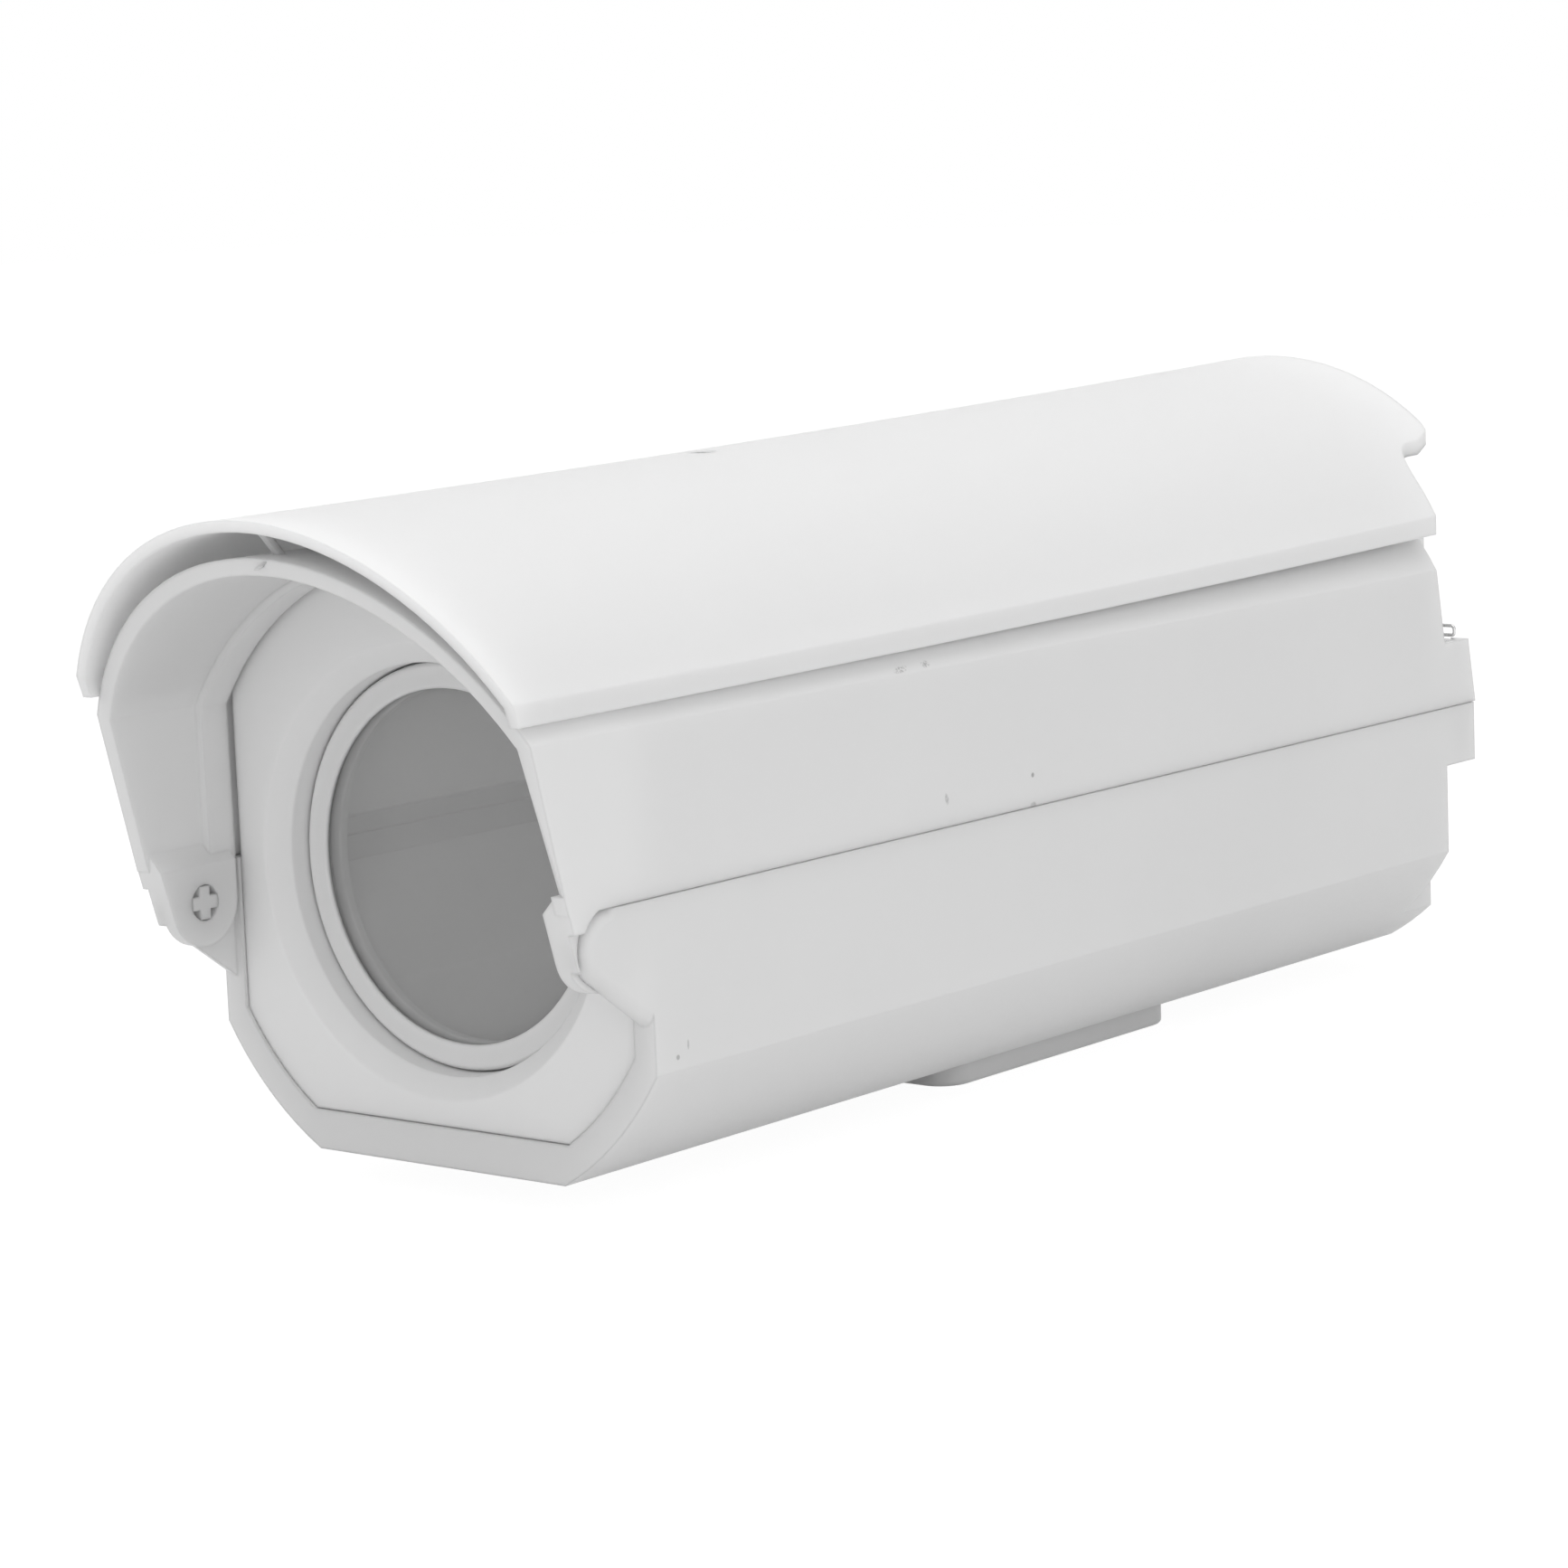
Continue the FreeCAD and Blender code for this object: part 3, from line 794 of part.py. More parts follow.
# Quarter-turn studs with wire rings, one in each rear corner block
for word, sign in (("left", "-"), ("right", "")):
    x, h = sign + "stud_x", "eye_w / 2"
    stud = keep(new_body("latch_stud_" + word, x, "stud_y"), "latch_stud_" + word)
    pad(stud, "Shank", sketch(stud, "ShankPlan", "XY_Plane", "key_z - key_r - stud_tip",
                              circles=[("0", "0", "stud_r")]), "disc_top - key_z + key_r + stud_tip")
    pad(stud, "Disc", sketch(stud, "DiscPlan", "XY_Plane", "disc_top - disc_h", circles=[("0", "0", "disc_r")]),
        "disc_h")
    eye = [("-%s" % h, "disc_top - disc_h / 2"), (h, "disc_top - disc_h / 2"), (h, "ring_z", h, 1),
           ("0", "ring_z + " + h, h, 1), ("-%s" % h, "ring_z")]
    pad(stud, "Eye", sketch(stud, "EyeSide", "YZ_Plane", "0", [eye]), "eye_w", both=True)
    pocket(stud, "EyeHole", sketch(stud, "EyeHolePlan", "YZ_Plane", "0",
                                   circles=[("0", "ring_z", "ring_wire_r + eye_gap")]), "2 * eye_w", both=True)
    pocket(stud, "KeyHole", sketch(stud, "KeyHolePlan", "YZ_Plane", "0",
                                   circles=[("0", "key_z", "key_r + key_gap")]), "3 * stud_r", both=True)
    keep(cylinder("latch_key_" + word, "key_r", "2 * key_half", x + " - key_half", "stud_y", "key_z", "X"),
         "latch_key_" + word)
    clip = keep(new_body("latch_clip_" + word, x, "stud_y"), "latch_clip_" + word)
    pad(clip, "ClipDisc", sketch(clip, "ClipPlan", "XY_Plane", "seam_z - clip_drop - clip_t",
                                 circles=[("0", "0", "clip_r"), ("0", "0", "stud_r + key_gap")]), "clip_t")
    pocket(clip, "ClipGap", sketch(clip, "ClipGapPlan", "XY_Plane", "seam_z - clip_drop",
                                   [box_loop("-stud_r / 2", "stud_r / 2", "0", "2 * clip_r")]), "clip_t")
    loop = keep(new_body("latch_ring_" + word, x, "stud_y", "ring_z"), "latch_ring_" + word)
    w, t, c, d = "ring_half_w", "ring_h", "ring_corner", "ring_foot_corner"
    path = sketch(loop, "RingPath", "XZ_Plane", "0", [[
        ("-%s + %s" % (w, d), "0"), ("%s - %s" % (w, d), "0", d, 1), (w, d), (w, "%s - %s" % (t, c), c, 1),
        ("%s - %s" % (w, c), t), ("-%s + %s" % (w, c), t, c, 1), ("-" + w, "%s - %s" % (t, c)),
        ("-" + w, d, d, 1)]])
    wire = sketch(loop, "WireSection", "YZ_Plane", "0", circles=[("0", "0", "ring_wire_r")])
    pipe = loop.newObject("PartDesign::AdditivePipe", "Wire")
    pipe.Profile = wire
    pipe.Spine = path

doc.recompute()
bad = [o.Name + " " + " ".join(o.State) for o in doc.Objects if "Invalid" in o.State or "Error" in o.State]
for obj in PARTS:
    if obj.Shape.isNull() or not obj.Shape.isValid() or not obj.Shape.Solids:
        bad.append(obj.Label + " has no sound shape")
if bad:
    raise RuntimeError("; ".join(bad))
os.makedirs("parts", exist_ok=True)
for obj in PARTS:
    obj.Shape.exportStep("parts/" + obj.Label + ".step")
    print(obj.Label, len(obj.Shape.Solids), round(obj.Shape.Volume))
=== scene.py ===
import math

import bmesh
import bpy
from mathutils import Matrix, Vector


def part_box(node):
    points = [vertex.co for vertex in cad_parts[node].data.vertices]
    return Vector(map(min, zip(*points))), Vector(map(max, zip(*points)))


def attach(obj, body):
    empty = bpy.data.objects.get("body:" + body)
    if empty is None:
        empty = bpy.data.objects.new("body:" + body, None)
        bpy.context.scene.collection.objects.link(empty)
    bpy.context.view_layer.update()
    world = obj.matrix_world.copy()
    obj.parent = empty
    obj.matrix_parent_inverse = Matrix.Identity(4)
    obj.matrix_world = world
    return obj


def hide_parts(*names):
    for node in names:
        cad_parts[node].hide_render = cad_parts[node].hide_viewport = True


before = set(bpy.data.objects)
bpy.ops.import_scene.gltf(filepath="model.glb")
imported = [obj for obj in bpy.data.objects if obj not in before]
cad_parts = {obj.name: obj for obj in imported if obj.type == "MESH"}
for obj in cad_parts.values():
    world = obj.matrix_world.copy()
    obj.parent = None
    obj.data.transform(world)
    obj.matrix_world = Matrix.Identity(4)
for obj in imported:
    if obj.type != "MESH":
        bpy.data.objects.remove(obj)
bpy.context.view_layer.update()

MM = 0.001


# Camera at the photograph's viewing angle: turn, rise and roll in degrees, lens, sensor and aim in mm,
# and its distance from the aim in metres
CAMERA_ANGLES = (39.49, 8.35, -2.3)
CAMERA_LENS, CAMERA_SENSOR = 105.87, 36.0
CAMERA_AIM, CAMERA_REACH = (4.0, -73.58, 76.92), 1.10367


def photo_camera():
    turn, rise, roll = (math.radians(a) for a in CAMERA_ANGLES)
    right = Vector((math.cos(turn), math.sin(turn), 0))
    back = Vector((math.sin(turn) * math.cos(rise), -math.cos(turn) * math.cos(rise),
                   math.sin(rise)))
    up = back.cross(right)
    across = right * math.cos(roll) + up * math.sin(roll)
    upright = up * math.cos(roll) - right * math.sin(roll)
    lens = bpy.data.cameras.new("photo_camera")
    lens.sensor_width, lens.lens = CAMERA_SENSOR, CAMERA_LENS
    lens.clip_start, lens.clip_end = 0.05, 50.0
    cam = bpy.data.objects.new("photo_camera", lens)
    bpy.context.scene.collection.objects.link(cam)
    place = Matrix((across, upright, back)).transposed().to_4x4()
    place.translation = Vector(CAMERA_AIM) * MM + back * CAMERA_REACH
    cam.matrix_world = place
    bpy.context.scene.camera = cam


photo_camera()


# Node helpers

def new_material(name):
    mat = bpy.data.materials.new(name)
    mat.use_nodes = True
    nodes = mat.node_tree.nodes
    shader = nodes["Principled BSDF"]
    return mat, nodes, mat.node_tree.links, shader


def coords(nodes, links, scale=1.0, offset=(0, 0, 0), turn=(0, 0, 0)):
    """Object coordinates, moved so that offset becomes the centre, then turned and scaled."""
    tex = nodes.new("ShaderNodeTexCoord")
    shift = nodes.new("ShaderNodeMapping")
    shift.vector_type = "TEXTURE"
    shift.inputs["Location"].default_value = offset
    shift.inputs["Rotation"].default_value = turn
    size = scale if isinstance(scale, (tuple, list)) else (scale,) * 3
    shift.inputs["Scale"].default_value = size
    links.new(tex.outputs["Object"], shift.inputs["Vector"])
    return shift.outputs["Vector"]


def noise(nodes, links, vector, scale, detail=2.0, rough=0.5):
    tex = nodes.new("ShaderNodeTexNoise")
    tex.inputs["Scale"].default_value = scale
    tex.inputs["Detail"].default_value = detail
    tex.inputs["Roughness"].default_value = rough
    links.new(vector, tex.inputs["Vector"])
    return tex.outputs["Fac"]


def span(nodes, links, value, low, high, to_low=0.0, to_high=1.0):
    node = nodes.new("ShaderNodeMapRange")
    node.clamp = True
    links.new(value, node.inputs["Value"])
    for key, number in (("From Min", low), ("From Max", high), ("To Min", to_low), ("To Max", to_high)):
        node.inputs[key].default_value = number
    return node.outputs["Result"]


def blend(nodes, links, share, first, second):
    node = nodes.new("ShaderNodeMix")
    node.data_type = "RGBA"
    for key, value in (("A", first), ("B", second)):
        socket = [s for s in node.inputs if s.name == key and s.type == "RGBA"][0]
        if isinstance(value, tuple):
            socket.default_value = value
        else:
            links.new(value, socket)
    links.new(share, node.inputs["Factor"])
    return [s for s in node.outputs if s.type == "RGBA"][0]


def math_node(nodes, links, kind, first, second=None):
    node = nodes.new("ShaderNodeMath")
    node.operation = kind
    for k, value in enumerate((first, second)):
        if value is None:
            continue
        if isinstance(value, (int, float)):
            node.inputs[k].default_value = value
        else:
            links.new(value, node.inputs[k])
    return node.outputs["Value"]


def soft_edges(nodes, links, shader, height, strength, distance, radius):
    """Fine surface relief over edges rounded as they leave the mould."""
    edge = nodes.new("ShaderNodeBevel")
    edge.samples = 6
    edge.inputs["Radius"].default_value = radius
    relief = nodes.new("ShaderNodeBump")
    relief.inputs["Strength"].default_value = strength
    relief.inputs["Distance"].default_value = distance
    links.new(height, relief.inputs["Height"])
    links.new(edge.outputs["Normal"], relief.inputs["Normal"])
    links.new(relief.outputs["Normal"], shader.inputs["Normal"])


def grey(level):
    return (level, level, level, 1.0)


def speck(nodes, links, colour, mark):
    """Darkens a small patch; a mark is its centre, half sizes, turn, tone and how broken up it is."""
    centre, size, turn, tone, broken = mark
    near = coords(nodes, links, tuple(s * MM for s in size), tuple(c * MM for c in centre), turn)
    far = nodes.new("ShaderNodeVectorMath")
    far.operation = "LENGTH"
    links.new(near, far.inputs[0])
    share = span(nodes, links, far.outputs["Value"], 0.55, 1.0, 1.0, 0.0)
    if broken:
        grain = noise(nodes, links, coords(nodes, links), 1500.0, 2.0)
        gaps = span(nodes, links, grain, 0.42, 0.58, 1.0 - broken, 1.0)
        share = math_node(nodes, links, "MULTIPLY", share, gaps)
    return blend(nodes, links, share, colour, grey(tone))


# How deep light goes into the plastic, in mm, and how strongly its skin shines
LIGHT_DEPTH = 8.0
SHEEN = 0.4


def moulded(name, level, edge=1.0, marks=(), let_through=0.3, rough=(0.40, 0.50)):
    """White moulded plastic that lets a little light through, with a faint orange-peel skin and scuffs."""
    mat, nodes, links, shader = new_material(name)
    spot = coords(nodes, links)
    cloud = span(nodes, links, noise(nodes, links, spot, 14.0, 3.0), 0.35, 0.65)
    colour = blend(nodes, links, cloud, grey(level * 0.982), grey(level))
    dust = span(nodes, links, noise(nodes, links, spot, 260.0, 4.0, 0.7), 0.70, 0.80, 0.0, 0.12)
    colour = blend(nodes, links, dust, colour, grey(level * 0.8))
    for mark in marks:
        colour = speck(nodes, links, colour, mark)
    links.new(colour, shader.inputs["Base Color"])
    skin = noise(nodes, links, spot, 650.0, 2.0, 0.6)
    links.new(span(nodes, links, skin, 0.3, 0.7, *rough), shader.inputs["Roughness"])
    shader.inputs["Specular IOR Level"].default_value = SHEEN
    shader.inputs["Subsurface Weight"].default_value = let_through
    shader.inputs["Subsurface Radius"].default_value = (1.0, 1.0, 1.0)
    shader.inputs["Subsurface Scale"].default_value = LIGHT_DEPTH * MM
    soft_edges(nodes, links, shader, skin, 0.12, 0.05 * MM, edge * MM)
    return mat


def metal(name, level, rough, warm=0.0):
    mat, nodes, links, shader = new_material(name)
    spot = coords(nodes, links)
    streak = noise(nodes, links, spot, 700.0, 3.0)
    tones = [(t, t * (1 - warm / 2), t * (1 - warm), 1.0) for t in (level * 0.9, level)]
    links.new(blend(nodes, links, streak, *tones), shader.inputs["Base Color"])
    links.new(span(nodes, links, streak, 0.3, 0.7, rough * 0.8, rough * 1.2), shader.inputs["Roughness"])
    shader.inputs["Metallic"].default_value = 1.0
    soft_edges(nodes, links, shader, streak, 0.1, 0.03 * MM, 0.15 * MM)
    return mat


def rubber(name, level):
    mat, nodes, links, shader = new_material(name)
    spot = coords(nodes, links)
    bloom = noise(nodes, links, spot, 400.0, 3.0)
    links.new(blend(nodes, links, bloom, grey(level), grey(level * 1.6)), shader.inputs["Base Color"])
    links.new(span(nodes, links, bloom, 0.3, 0.7, 0.6, 0.8), shader.inputs["Roughness"])
    soft_edges(nodes, links, shader, bloom, 0.2, 0.05 * MM, 0.2 * MM)
    return mat


# GLASS_COVER is how much of the pane is covered by the grey of painted reflection.
GLASS_IOR, GLASS_COVER = 1.45, 0.30


def clear_glass(name):
    """Window pane: see-through, under a thin grey layer that is a painted reflection of the surroundings."""
    mat, nodes, links, shader = new_material(name)
    spot = coords(nodes, links)
    reflection_and_gloss_noise = noise(nodes, links, spot, 60.0, 2.0)
    # Painted reflection: a grey that stands in for the surroundings mirrored in the pane, varying at random.
    links.new(blend(nodes, links, reflection_and_gloss_noise, grey(0.64), grey(0.68)), shader.inputs["Base Color"])
    links.new(span(nodes, links, reflection_and_gloss_noise, 0.4, 0.7, 0.02, 0.06), shader.inputs["Roughness"])
    shader.inputs["IOR"].default_value = GLASS_IOR
    shader.inputs["Alpha"].default_value = GLASS_COVER
    return mat


def dress(material, *names):
    for name in names:
        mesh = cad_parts[name].data
        mesh.materials.clear()
        mesh.materials.append(material)


# Scuffs on the cover's side under the eaves, specks lower down, and one on the tub near its front
COVER_MARKS = [((65, -103.9, 111.0), (2.0, 3.2, 0.9), (0.1, 0, 0), 0.46, 1.0),
               ((65, -94.7, 111.2), (2.0, 2.2, 1.0), (0, 0, 0), 0.50, 1.0),
               ((65, -89.4, 79.4), (1.0, 0.8, 1.6), (0.3, 0, 0), 0.55, 0.4),
               ((65, -56.1, 80.4), (0.8, 0.7, 0.7), (0, 0, 0), 0.40, 0.0),
               ((65, -56.2, 73.4), (1.0, 1.4, 0.8), (0, 0, 0), 0.52, 0.4)]
TUB_MARKS = [((65, -186.8, 37.4), (0.8, 0.7, 0.7), (0, 0, 0), 0.46, 0.0),
             ((65, -183.3, 39.6), (0.6, 0.4, 1.3), (0, 0, 0), 0.56, 0.3)]

# Painted shade: the tub is a darker copy of the same white plastic, standing in for the less light its sides
# and chamfer get.
shell = moulded("shell_white_painted_shade", 0.77, marks=TUB_MARKS)
cover = moulded("cover_white", 0.80, marks=COVER_MARKS, let_through=0.45)
# Painted light: the sunshield is a lighter copy of the same white plastic, standing in for the lamp light on
# its top.
shade = moulded("shield_white_painted_light", 0.95, let_through=0.8)
# Painted light: the front plate, bezel and clamp are a lighter copy of the same white plastic, standing in
# for light on their front faces.
front = moulded("front_white_painted_light", 0.87)
nylon = moulded("nylon_grey", 0.60, 0.3)
steel = metal("zinc_plate", 0.72, 0.35)
bright = metal("bright_wire", 0.8, 0.2)
sheet_metal = metal("tray_sheet", 0.75, 0.4)
brass = metal("insert_brass", 0.72, 0.35, 0.5)
black = rubber("black_rubber", 0.02)
pale_rubber = rubber("pale_rubber", 0.32)
glass = clear_glass("window_clear_painted_reflection")

dress(shell, "base_shell")
dress(cover, "top_cover")
dress(shade, "sunshield")
dress(front, "front_plate", "window_bezel", "glass_clamp")
dress(glass, "window_glass")
dress(pale_rubber, "window_gasket", "lid_seal")
dress(black, "gland_insert_left", "gland_insert_right", "gland_seals")
dress(sheet_metal, "camera_tray")
dress(steel, "tray_screws", "clamp_screws", "camera_screw", "shield_screw")
dress(nylon, "screw_washer", "shield_washer", "gland_body_left", "gland_body_right", "gland_cap_left",
      "gland_cap_right", "gland_locknuts")
dress(brass, "mount_inserts")
dress(bright, "latch_stud_left", "latch_stud_right", "latch_key_left", "latch_key_right", "latch_clip_left",
      "latch_clip_right", "latch_ring_left", "latch_ring_right")


# Small turned pieces, grown ring by ring about their own axis

SIDES = 48
CROSS_SIDES = 24
SMALL_SHARP, TRIM_SHARP = math.radians(40), math.radians(25)


def grow(bm, edges, rings, sides):
    """Extrudes a loop through rings of (reach, along) in mm; a reach may depend on the angle."""
    step = math.tau / sides
    for reach, along in rings:
        new = bmesh.ops.extrude_edge_only(bm, edges=edges)["geom"]
        verts = {v for v in new if isinstance(v, bmesh.types.BMVert)}
        edges = [e for e in new if isinstance(e, bmesh.types.BMEdge) and verts.issuperset(e.verts)]
        for v in verts:
            angle = round(math.atan2(v.co.y, v.co.x) / step) * step
            r = (reach(angle) if callable(reach) else reach) * MM
            v.co = (r * math.cos(angle), r * math.sin(angle), along * MM)
    return edges


def sleeve(rings):
    """Ring piece whose outline comes back to where it starts."""
    def build(bm):
        seed = bmesh.ops.create_circle(bm, segments=SIDES, radius=MM)["verts"]
        edges = list({e for v in seed for e in v.link_edges})
        grow(bm, edges, rings + rings[:1], SIDES)
        bmesh.ops.delete(bm, geom=seed, context="VERTS")
    return build


def hexagon(flat, corner):
    """Reach of a hexagon with rounded corners, one flat lying across the first angle."""
    def reach(angle):
        off = (angle + math.pi / 6) % (math.pi / 3) - math.pi / 6
        return min(flat / 2 / math.cos(off), corner)
    return reach


def thread(crest, root, start, end, pitch):
    """Rings of a fine thread between two places along the axis."""
    count = max(1, round(abs(end - start) / pitch))
    lead = (end - start) / count
    rings = []
    for k in range(count):
        rings += [(root, start + lead * (k + 0.1)), (crest, start + lead * (k + 0.45)),
                  (crest, start + lead * (k + 0.65)), (root, start + lead * (k + 0.98))]
    return rings


def cross_screw(head_r, head_h, shank_r, length, pitch):
    """Pan-head screw with a cross recess; its axis runs down from the middle of the head's top."""
    def build(bm):
        arm = head_r * 0.5
        bmesh.ops.create_grid(bm, x_segments=3, y_segments=3, size=arm * MM)
        rim = [e for e in bm.edges if e.is_boundary]
        bmesh.ops.subdivide_edges(bm, edges=rim, cuts=1)
        rim = [e for e in bm.edges if e.is_boundary]
        cross = [f for f in bm.faces if min(abs(c) for c in f.calc_center_median()[:2]) < arm / 3 * MM]
        dome = [(head_r * 0.8, -head_h * 0.06), (head_r * 0.93, -head_h * 0.22), (head_r, -head_h * 0.5),
                (head_r, -head_h * 0.94), (head_r * 0.97, -head_h)]
        end = grow(bm, rim, dome + [(shank_r, -head_h)] + thread(
            shank_r, shank_r * 0.84, -head_h - pitch, -head_h - length + pitch, pitch)
            + [(shank_r * 0.6, -head_h - length)], CROSS_SIDES)
        bmesh.ops.edgeloop_fill(bm, edges=end)
        sunk = bmesh.ops.extrude_face_region(bm, geom=cross)["geom"]
        bmesh.ops.delete(bm, geom=[f for f in cross if f.is_valid], context="FACES_ONLY")
        deep = [v for v in sunk if isinstance(v, bmesh.types.BMVert)]
        bmesh.ops.translate(bm, verts=deep, vec=(0, 0, -head_h * 0.65 * MM))
        bmesh.ops.scale(bm, verts=deep, vec=(0.72, 0.72, 1.0))
    return build


def make(name, body, material, builds, nodes=()):
    """Joins copies of small shapes, each put at its spot and pointed along its axis, into one piece."""
    whole = bmesh.new()
    for build, spot, along in builds:
        one = bmesh.new()
        build(one)
        bmesh.ops.remove_doubles(one, verts=one.verts, dist=0.002 * MM)
        bmesh.ops.recalc_face_normals(one, faces=one.faces)
        turn = Matrix.Rotation(-math.pi / 2 if along == "Y" else 0.0, 4, "X")
        bmesh.ops.transform(one, matrix=Matrix.Translation(Vector(spot)) @ turn, verts=one.verts)
        mesh = bpy.data.meshes.new(name + "_one")
        one.to_mesh(mesh)
        one.free()
        whole.from_mesh(mesh)
        bpy.data.meshes.remove(mesh)
    mesh = bpy.data.meshes.new(name)
    whole.to_mesh(mesh)
    whole.free()
    mesh.shade_smooth()
    mesh.set_sharp_from_angle(angle=SMALL_SHARP)
    mesh.materials.append(material)
    piece = bpy.data.objects.new(name, mesh)
    bpy.context.scene.collection.objects.link(piece)
    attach(piece, body)
    if nodes:
        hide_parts(*nodes)
    return piece


def middle(node):
    low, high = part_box(node)
    return (Vector(low) + Vector(high)) / 2


def trimmed(name, node, body, material, cutter):
    """Copy of a CAD node with a shape cut away from it, standing for the node.

    The copy's corners are merged and its stored normals dropped, so that the cut copy shades smoothly.
    """
    cut_mesh = bpy.data.meshes.new(name + "_cutter")
    bm = bmesh.new()
    cutter(bm)
    bmesh.ops.recalc_face_normals(bm, faces=bm.faces)
    bm.to_mesh(cut_mesh)
    bm.clear()
    bm.from_mesh(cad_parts[node].data)
    bmesh.ops.remove_doubles(bm, verts=bm.verts, dist=0.01 * MM)
    blank = bpy.data.meshes.new(name + "_blank")
    bm.to_mesh(blank)
    bm.free()
    for old in [a for a in blank.attributes if a.name == "custom_normal"]:
        blank.attributes.remove(old)
    knife = bpy.data.objects.new(name + "_cutter", cut_mesh)
    piece = bpy.data.objects.new(name, blank)
    for obj in (knife, piece):
        bpy.context.scene.collection.objects.link(obj)
    cut = piece.modifiers.new("trim", "BOOLEAN")
    cut.operation, cut.solver, cut.object = "DIFFERENCE", "EXACT", knife
    bpy.context.view_layer.update()
    view = bpy.context.evaluated_depsgraph_get()
    mesh = bpy.data.meshes.new_from_object(piece.evaluated_get(view))
    piece.modifiers.clear()
    piece.data = mesh
    bpy.data.objects.remove(knife)
    mesh.shade_smooth()
    mesh.set_sharp_from_angle(angle=TRIM_SHARP)
    mesh.materials.clear()
    mesh.materials.append(material)
    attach(piece, body)
    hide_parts(node)
    return piece


def tab_trim(bm):
    """Everything outside the sunshield's rear tab: straight sides, a wide round in each notch."""
    bmesh.ops.create_grid(bm, x_segments=3, y_segments=2, size=1.0)
    columns = {-1.0: -80.0, -1 / 3: -TAB_HALF, 1 / 3: TAB_HALF, 1.0: 80.0}
    rows = {-1.0: TAB_CUT, 0.0: TAB_END, 1.0: 250.0}
    for v in bm.verts:
        x = columns[min(columns, key=lambda c: abs(c - v.co.x))]
        y = rows[min(rows, key=lambda c: abs(c - v.co.y))]
        v.co = (x * MM, y * MM, 40 * MM)
    tab = [f for f in bm.faces if abs(f.calc_center_median().x) < MM
           and f.calc_center_median().y < TAB_END * MM]
    bmesh.ops.delete(bm, geom=tab, context="FACES_ONLY")
    top = bmesh.ops.extrude_face_region(bm, geom=bm.faces[:], use_keep_orig=True)["geom"]
    raised = [v for v in top if isinstance(v, bmesh.types.BMVert)]
    bmesh.ops.translate(bm, verts=raised, vec=(0, 0, 200 * MM))
    for y, radius in ((TAB_CUT, TAB_NOTCH), (TAB_END, TAB_CORNER)):
        upright = [e for e in bm.edges if abs(e.verts[0].co.z - e.verts[1].co.z) > 100 * MM
                   and all(abs(abs(v.co.x) - TAB_HALF * MM) < 0.1 * MM and abs(v.co.y - y * MM) < 0.1 * MM
                           for v in e.verts)]
        bmesh.ops.bevel(bm, geom=upright, offset=radius * MM, offset_type="OFFSET", segments=8,
                        profile=0.5, affect="EDGES", material=-1)


def lip_trim(bm):
    """Two wedges that bevel the inside of the hood's lip more and more towards its foot."""
    for side in (1, -1):
        block = bmesh.ops.create_cube(bm, size=1.0)["verts"]
        for v in block:
            high = v.co.z > 0
            x = LIP_OUT + 2.0 if v.co.x > 0 else LIP_IN - 3.7
            z = LIP_TOP if high else LIP_FOOT
            y = (LIP_TOP_Y if high else LIP_FOOT_Y) + LIP_SLOPE * (LIP_IN - x) if v.co.y > 0 else -260.0
            v.co = (side * x * MM, y * MM, z * MM)


def spread(node, inset, level, along):
    """Four spots inset mm from a node's sides, at a level along an axis given as 1 for Y or 2 for Z."""
    low, high = (Vector(c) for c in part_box(node))
    across = 3 - along
    spots = []
    for x in (low.x + inset * MM, high.x - inset * MM):
        for side in (low[across] + inset * MM, high[across] - inset * MM):
            spot = Vector((x, 0, 0))
            spot[across], spot[along] = side, level
            spots.append(spot)
    return spots


def screws():
    """Cross-recess screws of the sunshield, the tray and the glass clamp."""
    low, high = (Vector(c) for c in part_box("shield_screw"))
    top = Vector(((low.x + high.x) / 2, (low.y + high.y) / 2, high.z))
    make("shield_cross_screw", "cover", steel,
         [(cross_screw(3.3, 2.2, 2.0, 13.2, 0.7), top, "Z")], ["shield_screw"])
    low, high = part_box("tray_screws")
    make("tray_cross_screws", "housing", steel,
         [(cross_screw(3.4, 2.2, 1.6, 7.5, 0.7), spot, "Z")
          for spot in spread("tray_screws", 3.4, high[2], 2)], ["tray_screws"])
    low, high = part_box("clamp_screws")
    make("clamp_cross_screws", "housing", steel,
         [(cross_screw(2.6, 1.8, 1.3, 10.6, 0.6), spot, "Y")
          for spot in spread("clamp_screws", 2.6, high[1], 1)], ["clamp_screws"])


